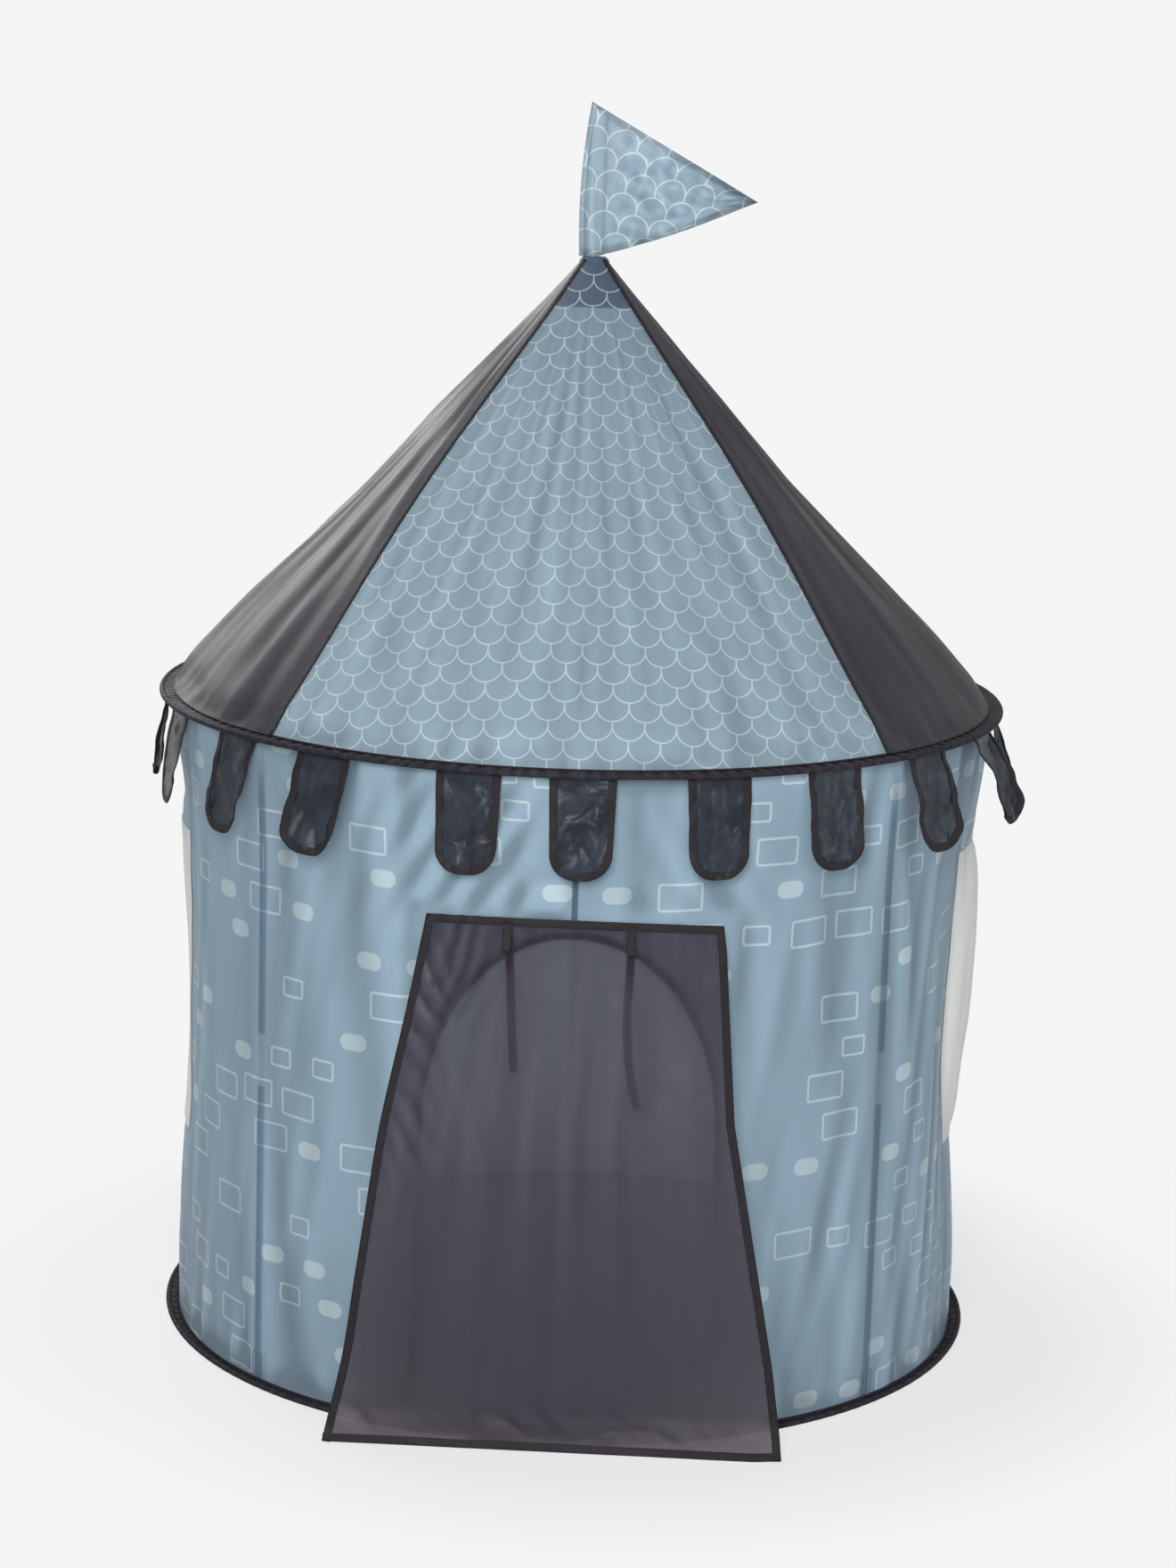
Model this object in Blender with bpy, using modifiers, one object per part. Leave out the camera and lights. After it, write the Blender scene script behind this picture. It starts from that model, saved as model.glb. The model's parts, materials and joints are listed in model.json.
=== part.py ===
"""Castle play tent: a round cloth tower on two wire hoops and four poles, with a conical roof and a flag.

Metres, +Z up. The origin is on the floor at the centre of the floor hoop, and the door faces -Y.
Azimuths are measured from the door: 0 is the door, +90 degrees is the +X side.
"""
from math import asin, atan2, cos, pi, radians, sin, sqrt

import bmesh
import bpy
import numpy as np
from mathutils import Matrix, Vector

# Cloth and clearances
CLOTH = 0.0012
GAP = 0.0003
CASING_CLOTH = 0.001
CASING_SLIT = 0.0006

# Hoops and their casings
FLOOR_RADIUS = 0.500
EAVE_OVERHANG = 0.0125
EAVE_RADIUS = FLOOR_RADIUS + EAVE_OVERHANG
EAVE_HEIGHT = 0.776
HOOP_WIRE_RADIUS = 0.0017
FLOOR_CASING_WIDTH = 0.0235
EAVE_CASING_WIDTH = 0.024
CASING_BULGE = 0.006
RING_STEPS = 48
WIRE_SIDES = 6

# Poles, their sleeves and their fittings
POLE_RADIUS = 0.0032
SOCKET_CLEARANCE = 0.0003
SLEEVE_CLEARANCE = 0.0006
SLEEVE_CLOTH = 0.001
FITTING_WALL = 0.0017
WALL_POLE_AZIMUTH = radians(47.0)
WALL_POLE_INSET = 0.0175
WALL_POLE_RADIUS = FLOOR_RADIUS - WALL_POLE_INSET
WALL_FLAT_ANGLE = radians(2.2)
SLEEVE_WINDOW = (0.365, 0.425)
POCKET_WIDTH = 0.032
POCKET_HEIGHT = 0.038
ELBOW_DROP = 0.054
ELBOW_FOOT = EAVE_HEIGHT - ELBOW_DROP
SOCKET_DEPTH = 0.033
SLEEVE_BELOW_ELBOW = 0.022
SLEEVE_TOP = ELBOW_FOOT - SLEEVE_BELOW_ELBOW
SLEEVE_BOTTOM = 0.010
ELBOW_TURN_STEPS = 6

# Wall cloth
WALL_INSET = 0.0165
WALL_MID_RADIUS = FLOOR_RADIUS - WALL_INSET
WALL_TOP_INSET = 0.018
WALL_TOP_RADIUS = EAVE_RADIUS - WALL_TOP_INSET
SIDE_WAIST = 0.017
FRONT_WAIST = 0.004
WAIST_FOOT = 0.05
WAIST_TOP = EAVE_HEIGHT - 0.026
FLARE_FOOT = EAVE_HEIGHT - 0.176
WALL_COLUMN_ANGLE = radians(6.0)
COLUMN_CLEARANCE = 1.6 * WALL_FLAT_ANGLE
WALL_ROWS = 10

# Doorway and door flap
DOOR_SILL = 0.028
DOOR_SPRING = 0.36
DOOR_TOP = 0.592
DOOR_HALF_WIDTH = 0.171
ARCH_STEPS = 14
FLAP_LAP = 0.008
FLAP_TOP = DOOR_TOP + FLAP_LAP
FLAP_TOP_LEFT = -0.1635
FLAP_TOP_RIGHT = 0.1655
HEM_LEFT = (-0.268, -FLOOR_RADIUS - 0.007)
HEM_RIGHT = (0.251, -FLOOR_RADIUS - 0.033)
HEM_HEIGHT = 0.0014
HEM_FLARE = 0.045
FLAP_FOLD = 0.003
FLAP_FOLDS = 3.5
FLAP_COLUMNS = 16
FLAP_ROWS = (1.0, 0.975, 0.94, 0.86, 0.74, 0.6, 0.45, 0.3, 0.15, 0.05, 0.0)
HEM_KICK = 0.22
FLAP_LEAN_POWER = 0.85
FOLD_END = 0.93
TIE_PLACES = (-0.073, 0.063)
TIE_WIDTH = 0.008
TIE_LENGTH = 0.026
TIE_DROP = 0.004
TIE_CLEARANCE = 0.0009
SEAM_TAPE_WIDTH = 0.008
SEAM_TAPE_TOP = EAVE_HEIGHT - 0.011

# Side windows
WINDOW_HALF_ANGLE = radians(16.0)
WINDOW_FOOT = 0.26
WINDOW_TOP = 0.61
WINDOW_CORNER = 0.05
WINDOW_LAP = 0.012
WINDOW_BULGE = 0.027
NET_LIFT = 0.0009
NET_FULLNESS = 0.7
NET_COLUMNS = (-1, -0.93, -0.75, -0.5, -0.25, 0, 0.25, 0.5, 0.75, 0.93, 1)
NET_ROWS = (0, 0.03, 0.12, 0.25, 0.4, 0.5, 0.6, 0.75, 0.88, 0.97, 1)

# Roof
ROOF_POLE_AZIMUTH = radians(44.8)
ROOF_RISE = 0.5245
APEX_HEIGHT = EAVE_HEIGHT + ROOF_RISE
APEX_RADIUS = 0.0165
ROOF_BOW = 0.017
GORE_HOLLOW = 0.105
HOLLOW_FOOT = 0.12
HOLLOW_RUN = 0.45
ROOF_ROWS = (0.0, 0.05, 0.12, 0.22, 0.34, 0.46, 0.58, 0.70, 0.82, 0.90, 0.95, 1.0)
GORE_COLUMNS = 8
RIDGE_CREASE = radians(15.0)
ROOF_SLEEVE_TOP = 0.86
LEAST_ROW_STEP = 0.01

# Apex hub, flag rod and flag
HUB_RADIUS = 0.0125
HUB_ARM_ROOT = 0.0042
HUB_HEIGHT = 0.0415
HUB_TOP = APEX_HEIGHT + 0.003
HUB_FOOT = HUB_TOP - HUB_HEIGHT
ROD_FOOT = HUB_FOOT + 0.006
FLAG_REST = 0.0005
FLAG_FOOT = HUB_TOP + FLAG_REST
FLAG_HEIGHT = 0.175
FLAG_TOP = FLAG_FOOT + FLAG_HEIGHT
FLAG_CLOTH = 0.0016
FLAG_SLEEVE_WIDTH = 0.019
FLAG_SLEEVE_DEPTH = 0.011
FLAG_FLY = ((0.193, 0.069), (0.154, 0.0535), (0.117, 0.039), (0.078, 0.024), (0.030, 0.0035))

# Merlon tabs: azimuth and outward lean of each, in degrees, clockwise from the back
MERLONS = (
    (-162, 4), (-144, 5), (-126, 6), (-108, 8), (-89, 14), (-70.5, 11), (-51.2, 12),
    (-34.7, 13), (-13.9, 4), (0.6, 3), (18.1, 4), (34.9, 4), (52.7, 10), (71, 22),
    (90, 12), (108, 8), (126, 6), (144, 5), (162, 4), (180, 4),
)
MERLON_INSET = 0.013
MERLON_RADIUS = EAVE_RADIUS - MERLON_INSET
MERLON_LENGTH = 0.115
MERLON_TOP_WIDTH = 0.073
MERLON_END_WIDTH = 0.068
MERLON_CORNER = 0.028
MERLON_GAP = 0.0004

# Sizes that follow from the ones above
LIP = 2 * CASING_CLOTH + CASING_SLIT
BULGE_HALF = HOOP_WIRE_RADIUS + GAP + CASING_CLOTH
SOCKET_BORE = POLE_RADIUS + SOCKET_CLEARANCE
SLEEVE_BORE = POLE_RADIUS + SLEEVE_CLEARANCE
SLEEVE_RADIUS = SLEEVE_BORE + SLEEVE_CLOTH
FITTING_RADIUS = SOCKET_BORE + FITTING_WALL
WALL_FOOT = LIP + GAP
WALL_HEAD = EAVE_HEIGHT - LIP / 2 - GAP
ROOF_FOOT = EAVE_HEIGHT + LIP / 2 + GAP + CLOTH
ROOF_FOOT_RADIUS = EAVE_RADIUS - CASING_BULGE - 2 * BULGE_HALF
RIDGE_DEPTH = FITTING_RADIUS / cos(RIDGE_CREASE) + CLOTH + 2 * GAP
RIDGE_HALF_GAP = CLOTH * sin(RIDGE_CREASE) + GAP / 2
POLE_LINE_RADIUS = (WALL_POLE_RADIUS + SLEEVE_RADIUS + GAP + CLOTH) / cos(WALL_FLAT_ANGLE)
QUADRANTS = (
    ("front_right", 1, 1), ("front_left", -1, 1), ("back_right", 1, -1), ("back_left", -1, -1),
)


def clear_scene():
    """Remove every object that is already there."""
    for thing in list(bpy.data.objects):
        bpy.data.objects.remove(thing, do_unlink=True)


def new_collection(name):
    collection = bpy.data.collections.new(name)
    bpy.context.scene.collection.children.link(collection)
    return collection


def new_material(name, colour, roughness, metallic=0.0):
    """A Principled material with one colour, roughness and metallic value."""
    material = bpy.data.materials.new(name)
    material.use_nodes = True
    shader = material.node_tree.nodes["Principled BSDF"]
    shader.inputs["Base Color"].default_value = (*colour, 1.0)
    shader.inputs["Roughness"].default_value = roughness
    shader.inputs["Metallic"].default_value = metallic
    return material


def add_object(name, data, colour, roughness=0.6, metallic=0.0):
    """A part in the tent's collection, with a material of its own."""
    part = bpy.data.objects.new(name, data)
    data.materials.clear()
    data.materials.append(new_material(name, colour, roughness, metallic))
    TENT.objects.link(part)
    return part


def add_cutter(name, data):
    """A hidden tool for a Boolean."""
    cutter = bpy.data.objects.new(name, data)
    cutter.hide_render = True
    cutter.display_type = "WIRE"
    CUTTERS.objects.link(cutter)
    return cutter


def boolean(part, tool, operation="DIFFERENCE"):
    modifier = part.modifiers.new(tool.name, "BOOLEAN")
    modifier.operation = operation
    modifier.object = tool


def azimuth_point(radius, azimuth, height):
    return Vector((radius * sin(azimuth), -radius * cos(azimuth), height))


def smooth_step(value):
    value = min(max(value, 0.0), 1.0)
    return value * value * (3 - 2 * value)


def curve_mesh(curve):
    """The welded mesh of a curve."""
    holder = bpy.data.objects.new(curve.name, curve)
    bpy.context.scene.collection.objects.link(holder)
    graph = bpy.context.evaluated_depsgraph_get()
    mesh = bpy.data.meshes.new_from_object(holder.evaluated_get(graph))
    bpy.data.objects.remove(holder)
    work = bmesh.new()
    work.from_mesh(mesh)
    bmesh.ops.remove_doubles(work, verts=work.verts, dist=1e-6)
    work.to_mesh(mesh)
    work.free()
    return mesh


def tube_mesh(name, points, radius, capped=True, resolution=2):
    """A round bar, or an open tube, along the points."""
    curve = bpy.data.curves.new(name, "CURVE")
    curve.dimensions = "3D"
    curve.bevel_depth = radius
    curve.bevel_resolution = resolution
    curve.use_fill_caps = capped
    spline = curve.splines.new("POLY")
    spline.points.add(len(points) - 1)
    for place, point in zip(spline.points, points):
        place.co = (*point, 1.0)
    return curve_mesh(curve)


def plate_mesh(name, loops, thickness):
    """A flat outline in X and Y, with any inner loops as holes, given its thickness about Z = 0."""
    curve = bpy.data.curves.new(name, "CURVE")
    curve.dimensions = "2D"
    curve.fill_mode = "BOTH"
    curve.extrude = thickness / 2
    for loop in loops:
        spline = curve.splines.new("POLY")
        spline.points.add(len(loop) - 1)
        spline.use_cyclic_u = True
        for place, point in zip(spline.points, loop):
            place.co = (point[0], point[1], 0.0, 1.0)
    return curve_mesh(curve)


def cylinder_mesh(name, start, end, radius, segments=16):
    """A closed cylinder from start to end."""
    mesh = bpy.data.meshes.new(name)
    work = bmesh.new()
    axis = end - start
    turn = Vector((0, 0, 1)).rotation_difference(axis).to_matrix().to_4x4()
    place = Matrix.Translation((start + end) / 2) @ turn
    bmesh.ops.create_cone(work, cap_ends=True, segments=segments, radius1=radius, radius2=radius,
                          depth=axis.length, matrix=place)
    work.to_mesh(mesh)
    work.free()
    return mesh


def box_mesh(name, size, place):
    """A box of the size given, moved by the matrix place."""
    mesh = bpy.data.meshes.new(name)
    work = bmesh.new()
    bmesh.ops.create_cube(work, size=1.0, matrix=place @ Matrix.Diagonal((*size, 1.0)))
    work.to_mesh(mesh)
    work.free()
    return mesh


def cloth_mesh(name, columns, rows, place):
    """An open grid whose corner at each column and row value is moved to place(column, row)."""
    mesh = bpy.data.meshes.new(name)
    work = bmesh.new()
    bmesh.ops.create_grid(work, x_segments=len(columns) - 1, y_segments=len(rows) - 1, size=1.0)
    for corner in work.verts:
        column = columns[round((corner.co.x + 1) / 2 * (len(columns) - 1))]
        row = rows[round((corner.co.y + 1) / 2 * (len(rows) - 1))]
        corner.co = place(column, row)
    work.to_mesh(mesh)
    work.free()
    return mesh


def thicken(part, thickness=CLOTH):
    """Give an open sheet its thickness on the inner side."""
    modifier = part.modifiers.new("cloth", "SOLIDIFY")
    modifier.thickness = thickness
    modifier.offset = -1.0
    modifier.use_even_offset = True


def turned(name, profile, colour, roughness, metallic=0.0):
    """A profile of (radius, height) points, closed, turned once about Z."""
    mesh = bpy.data.meshes.new(name)
    corners = [(radius, 0.0, height) for radius, height in profile]
    edges = [(index, (index + 1) % len(corners)) for index in range(len(corners))]
    mesh.from_pydata(corners, edges, [])
    part = add_object(name, mesh, colour, roughness, metallic)
    modifier = part.modifiers.new("turn", "SCREW")
    modifier.steps = RING_STEPS
    modifier.render_steps = RING_STEPS
    modifier.use_merge_vertices = True
    modifier.merge_threshold = 1e-5
    return part


# The wall's surface

def wall_radius(azimuth, height):
    """Outer radius of the wall cloth: widest along the poles, drawn in at a waist between them."""
    from_side = abs(abs((azimuth + pi) % (2 * pi) - pi) - pi / 2)
    pole_from_side = pi / 2 - WALL_POLE_AZIMUTH
    if from_side < pole_from_side:
        depth = SIDE_WAIST
        share = (pole_from_side - WALL_FLAT_ANGLE - from_side) / (pole_from_side - WALL_FLAT_ANGLE)
    else:
        depth = FRONT_WAIST
        share = (from_side - pole_from_side - WALL_FLAT_ANGLE) / (WALL_POLE_AZIMUTH - WALL_FLAT_ANGLE)
    pull = sin(pi / 2 * min(max(share, 0.0), 1.0)) ** 2
    waist = sin(pi * min(max((height - WAIST_FOOT) / (WAIST_TOP - WAIST_FOOT), 0.0), 1.0)) ** 2
    between = WALL_MID_RADIUS - depth * waist
    radius = POLE_LINE_RADIUS + (between - POLE_LINE_RADIUS) * pull
    flare = smooth_step((height - FLARE_FOOT) / (WALL_HEAD - FLARE_FOOT))
    settled = POLE_LINE_RADIUS + (WALL_MID_RADIUS - POLE_LINE_RADIUS) * pull
    return radius + (WALL_TOP_RADIUS - settled) * flare


def wall_columns(start, end):
    """Azimuths of the wall's columns: even steps, with the flat strip along each pole kept."""
    steps = round((end - start) / WALL_COLUMN_ANGLE)
    even = [start + (end - start) * index / steps for index in range(steps + 1)]
    poles = [side * turn for side in (-1, 1) for turn in (WALL_POLE_AZIMUTH, pi - WALL_POLE_AZIMUTH)]
    edges = [pole + side * WALL_FLAT_ANGLE for pole in poles for side in (-1, 1)]
    edges = [edge for edge in edges if start < edge < end]
    apart = [turn for turn in even if all(abs(turn - pole) > COLUMN_CLEARANCE for pole in poles)]
    return sorted(apart + edges)


def wall_heights():
    return [float(height) for height in np.linspace(WALL_FOOT, WALL_HEAD, WALL_ROWS + 1)]


# The roof's surface

def ridge_point(share):
    """Radius and height on a roof ridge, bowed by its bent pole, at a share of the way to the apex."""
    radius = ROOF_FOOT_RADIUS + (APEX_RADIUS - ROOF_FOOT_RADIUS) * share
    height = ROOF_FOOT + (APEX_HEIGHT - ROOF_FOOT) * share
    return radius + ROOF_BOW * sin(pi * share) ** 2, height


def ridge_inset(share, depth):
    """A point of the ridge moved inwards, square to it, by the depth."""
    step = 1e-3
    low = ridge_point(share - step)
    high = ridge_point(share + step)
    slope = atan2(high[1] - low[1], low[0] - high[0])
    radius, height = ridge_point(share)
    return radius - depth * sin(slope), height - depth * cos(slope)


def gore_point(middle, half_span, across, share):
    """A point of a gore: across runs from -1 to 1 between its ridges, hollow in the middle."""
    radius, height = ridge_point(share)
    hollow = GORE_HOLLOW * smooth_step((share - HOLLOW_FOOT) / HOLLOW_RUN)
    radius *= 1 - hollow * (1 - across * across)
    edge = half_span - RIDGE_HALF_GAP / radius
    return azimuth_point(radius, middle + across * edge, height)


def roof_pole_point(right, front, share):
    """A point of a roof pole's axis, under its ridge."""
    radius, height = ridge_inset(share, RIDGE_DEPTH)
    point = azimuth_point(radius, ROOF_POLE_AZIMUTH, height)
    return Vector((right * point.x, front * point.y, point.z))


def wall_pole_point(right, front, height):
    """A point of a wall pole's axis."""
    point = azimuth_point(WALL_POLE_RADIUS, WALL_POLE_AZIMUTH, height)
    return Vector((right * point.x, front * point.y, point.z))


# Floor and hoops

def casing_profile(outer_radius, width, height, drop):
    """Section of a casing: cloth folded round the wire, its layers running in to the seam.

    The drop lowers the layers, so that a casing on the floor has a flat underside.
    """
    wire = outer_radius - BULGE_HALF
    inner = outer_radius - width
    corner = BULGE_HALF / 2
    room = HOOP_WIRE_RADIUS + GAP
    shoulder = wire - CASING_BULGE
    upper = (
        (inner, LIP / 2 - drop), (shoulder, LIP / 2 - drop), (wire - corner, BULGE_HALF),
        (wire + corner, BULGE_HALF), (outer_radius, corner),
    )
    lower = (
        (outer_radius, -corner), (wire + corner, -BULGE_HALF), (wire - corner, -BULGE_HALF),
        (shoulder, -LIP / 2 - drop), (inner, -LIP / 2 - drop),
    )
    slit = (
        (inner, -CASING_SLIT / 2 - drop), (wire - room, -CASING_SLIT / 2 - drop),
        (wire - room, -room), (wire + room, -room), (wire + room, room),
        (wire - room, room), (wire - room, CASING_SLIT / 2 - drop), (inner, CASING_SLIT / 2 - drop),
    )
    if drop:
        slit = slit[:1] + slit[3:]
    return [(radius, height + rise) for radius, rise in upper + lower + slit]


def make_hoop(name, outer_radius, height):
    """A spring-steel wire hoop."""
    wire = outer_radius - BULGE_HALF
    turns = [2 * pi * index / WIRE_SIDES for index in range(WIRE_SIDES)]
    ring = [(wire + HOOP_WIRE_RADIUS * cos(turn), height - HOOP_WIRE_RADIUS * sin(turn)) for turn in turns]
    turned(name, ring, (0.45, 0.45, 0.47), 0.35, 0.9)


def make_floor_and_hoops():
    charcoal = (0.035, 0.032, 0.038)
    floor_drop = BULGE_HALF - LIP / 2
    turned("floor_hoop_casing", casing_profile(FLOOR_RADIUS, FLOOR_CASING_WIDTH, BULGE_HALF, floor_drop),
           charcoal, 0.6)
    turned("eave_hoop_casing", casing_profile(EAVE_RADIUS, EAVE_CASING_WIDTH, EAVE_HEIGHT, 0.0),
           charcoal, 0.6)
    make_hoop("floor_hoop", FLOOR_RADIUS, BULGE_HALF)
    make_hoop("eave_hoop", EAVE_RADIUS, EAVE_HEIGHT)
    edge = FLOOR_RADIUS - FLOOR_CASING_WIDTH - GAP
    disc = cylinder_mesh("floor_sheet", Vector((0, 0, 0)), Vector((0, 0, CLOTH)), edge, RING_STEPS)
    add_object("floor_sheet", disc, (0.05, 0.05, 0.06), 0.7)


# Wall panels, seam tape and windows

def doorway_outline():
    """The doorway in X and Z: upright sides under a half-elliptical arch."""
    outline = [(-DOOR_HALF_WIDTH, DOOR_SILL), (DOOR_HALF_WIDTH, DOOR_SILL)]
    for index in range(ARCH_STEPS + 1):
        turn = pi * index / ARCH_STEPS
        rise = (DOOR_TOP - DOOR_SPRING) * sin(turn)
        outline.append((DOOR_HALF_WIDTH * cos(turn), DOOR_SPRING + rise))
    return outline


def rounded_outline(half_width, low, high, corner, steps=4):
    """A rectangle with rounded corners, between the heights low and high."""
    centres = ((half_width - corner, low + corner, -90), (half_width - corner, high - corner, 0),
               (corner - half_width, high - corner, 90), (corner - half_width, low + corner, 180))
    outline = []
    for x, y, start in centres:
        for index in range(steps + 1):
            turn = radians(start + 90 * index / steps)
            outline.append((x + corner * cos(turn), y + corner * sin(turn)))
    return outline


def window_half_width():
    return wall_radius(pi / 2, EAVE_HEIGHT / 2) * sin(WINDOW_HALF_ANGLE)


def make_cutters():
    """The doorway cutter and one window cutter for each side."""
    upright = Matrix.Rotation(pi / 2, 4, "X")
    reach = FLOOR_RADIUS
    doorway = plate_mesh("doorway_cutter", [doorway_outline()], reach)
    doorway.transform(Matrix.Translation((0, -FLOOR_RADIUS, 0)) @ upright)
    cutters = {"doorway": add_cutter("doorway_cutter", doorway)}
    for side, right in (("left", -1), ("right", 1)):
        outline = rounded_outline(window_half_width(), WINDOW_FOOT, WINDOW_TOP, WINDOW_CORNER)
        window = plate_mesh(f"window_cutter_{side}", [outline], reach / 2)
        turn = Matrix.Rotation(right * pi / 2, 4, "Z")
        window.transform(Matrix.Translation((right * FLOOR_RADIUS, 0, 0)) @ turn @ upright)
        cutters[side] = add_cutter(f"window_cutter_{side}", window)
    return cutters


def make_wall():
    """Two half walls, seamed at the front and the back, with the doorway and the windows cut out."""
    cutters = make_cutters()
    seam = GAP / 2 / WALL_MID_RADIUS
    for side, start in (("left", -pi), ("right", 0.0)):
        columns = wall_columns(start + seam, start + pi - seam)
        mesh = cloth_mesh(f"wall_panel_{side}", columns, wall_heights(),
                          lambda turn, height: azimuth_point(wall_radius(turn, height), turn, height))
        panel = add_object(f"wall_panel_{side}", mesh, (0.23, 0.35, 0.43), 0.55)
        thicken(panel)
        boolean(panel, cutters["doorway"])
        boolean(panel, cutters[side])


def make_seam_tape():
    """The tape over the front seam, inside the wall, from the arch to the eave."""
    half = SEAM_TAPE_WIDTH / 2 / WALL_MID_RADIUS
    start = DOOR_TOP + 2 * CLOTH
    inner = [height for height in wall_heights() if start < height < SEAM_TAPE_TOP]
    rows = [start, *inner, SEAM_TAPE_TOP]
    depth = CLOTH + 2 * GAP

    def place(turn, height):
        column = WALL_COLUMN_ANGLE
        chord = (wall_radius(0.0, height) * (1 - abs(turn) / column)
                 + wall_radius(column, height) * cos(column) * abs(turn) / column)
        return azimuth_point(chord - depth, turn, height)

    tape = add_object("front_seam_tape", cloth_mesh("front_seam_tape", [-half, 0.0, half], rows, place),
                      (0.03, 0.05, 0.10), 0.6)
    thicken(tape, CASING_CLOTH)


def net_place(right):
    """A function for a window net: its edge lapped on the wall, its middle bulging out."""
    half_turn = WINDOW_HALF_ANGLE + WINDOW_LAP / WALL_MID_RADIUS
    low = WINDOW_FOOT - WINDOW_LAP
    high = WINDOW_TOP + WINDOW_LAP

    def place(across, up):
        turn = right * pi / 2 + across * half_turn
        height = low + (high - low) * up
        inside_x = max(1 - (across * half_turn / WINDOW_HALF_ANGLE) ** 2, 0.0)
        open_height = (height - WINDOW_FOOT) / (WINDOW_TOP - WINDOW_FOOT)
        inside_z = max(4 * open_height * (1 - open_height), 0.0)
        bulge = WINDOW_BULGE * sqrt(inside_x) * inside_z ** NET_FULLNESS
        radius = wall_radius(turn, height) + NET_LIFT + CLOTH + bulge
        return azimuth_point(radius, turn, height)

    return place


def make_windows():
    for side, right in (("left", -1), ("right", 1)):
        mesh = cloth_mesh(f"window_net_{side}", NET_COLUMNS, NET_ROWS, net_place(right))
        net = add_object(f"window_net_{side}", mesh, (0.85, 0.84, 0.82), 0.8)
        thicken(net)


# Door flap and ties

def flap_point(across, down):
    """Outer surface of the flap: its top follows the wall, its hem lies straight on the floor."""
    top_x = FLAP_TOP_LEFT + (FLAP_TOP_RIGHT - FLAP_TOP_LEFT) * (across + 1) / 2
    wall = wall_radius(asin(top_x / WALL_MID_RADIUS), FLAP_TOP) + 2 * GAP + CLOTH
    top = Vector((top_x, -sqrt(wall * wall - top_x * top_x), FLAP_TOP))
    hem = Vector((*HEM_LEFT, HEM_HEIGHT)).lerp(Vector((*HEM_RIGHT, HEM_HEIGHT)), (across + 1) / 2)
    height = FLAP_TOP + (HEM_HEIGHT - FLAP_TOP) * down
    near_floor = max(1 - height / HEM_FLARE, 0.0)
    reach = (1 - HEM_KICK) * down ** FLAP_LEAN_POWER + HEM_KICK * near_floor ** 2
    reach = reach if down < 1 else 1.0
    wave = FLAP_FOLD * (1 + cos(2 * pi * FLAP_FOLDS * (across + 1) / 2)) / 2
    folds = wave * sin(pi * min(down, FOLD_END))
    return Vector((top.x + (hem.x - top.x) * down, top.y + (hem.y - top.y) * reach - folds, height))


def make_door_flap():
    """The flap's origin is on its hinge line: the seam along its top."""
    hinge = Vector((0.0, flap_point(0.0, 0.0).y, FLAP_TOP))
    columns = [2 * index / FLAP_COLUMNS - 1 for index in range(FLAP_COLUMNS + 1)]
    mesh = cloth_mesh("door_flap", columns, FLAP_ROWS, lambda across, down: flap_point(across, down) - hinge)
    flap = add_object("door_flap", mesh, (0.075, 0.068, 0.08), 0.5)
    flap.location = hinge
    thicken(flap)
    for side, x in zip(("left", "right"), TIE_PLACES):
        make_tie(f"door_tie_{side}", x)


def make_tie(name, x):
    """A folded ribbon loop that hangs from the flap's top seam, in front of it."""
    across = 2 * (x - FLAP_TOP_LEFT) / (FLAP_TOP_RIGHT - FLAP_TOP_LEFT) - 1
    low_share = (TIE_DROP + TIE_LENGTH) / FLAP_TOP
    top = flap_point(across, TIE_DROP / FLAP_TOP)
    low = flap_point(across, low_share)
    slope = atan2(top.y - low.y, top.z - low.z)
    layer = CASING_CLOTH
    span = 2 * layer + CASING_SLIT
    outline = [
        (0, 0), (layer, 0), (layer, layer - TIE_LENGTH), (layer + CASING_SLIT, layer - TIE_LENGTH),
        (layer + CASING_SLIT, 0), (span, 0), (span, -TIE_LENGTH), (0, -TIE_LENGTH),
    ]
    mesh = plate_mesh(name, [outline], TIE_WIDTH)
    mesh.transform(Matrix(((0, 0, -1, 0), (-1, 0, 0, 0), (0, 1, 0, 0), (0, 0, 0, 1))))
    tie = add_object(name, mesh, (0.02, 0.02, 0.022), 0.6)
    turn = atan2(x, -top.y)
    tie.location = top + Vector((0, -TIE_CLEARANCE, 0))
    tie.rotation_euler = (-slope, 0, turn)


# Poles, sleeves, elbows and hub

def roof_shares(low, high):
    """The ridge's own rows between two shares, with those two as its ends."""
    between = [share for share in ROOF_ROWS if low + LEAST_ROW_STEP < share < high - LEAST_ROW_STEP]
    return [low, *between, high]


def turn_points(start, start_way, end, end_way, steps):
    """Points of a smooth turn between two straight runs: a cubic with those ends and directions."""
    reach = (end - start).length
    points = []
    for index in range(1, steps):
        share = index / steps
        points.append(
            start * (2 * share ** 3 - 3 * share ** 2 + 1) + end * (3 * share ** 2 - 2 * share ** 3)
            + start_way * reach * (share ** 3 - 2 * share ** 2 + share)
            + end_way * reach * (share ** 3 - share ** 2))
    return points


def make_wall_pole(name, right, front):
    foot = wall_pole_point(right, front, WALL_FOOT)
    head = wall_pole_point(right, front, ELBOW_FOOT + SOCKET_DEPTH - GAP)
    add_object(f"wall_pole_{name}", tube_mesh("pole", [foot, head], POLE_RADIUS), (0.04, 0.04, 0.045), 0.4)


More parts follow.
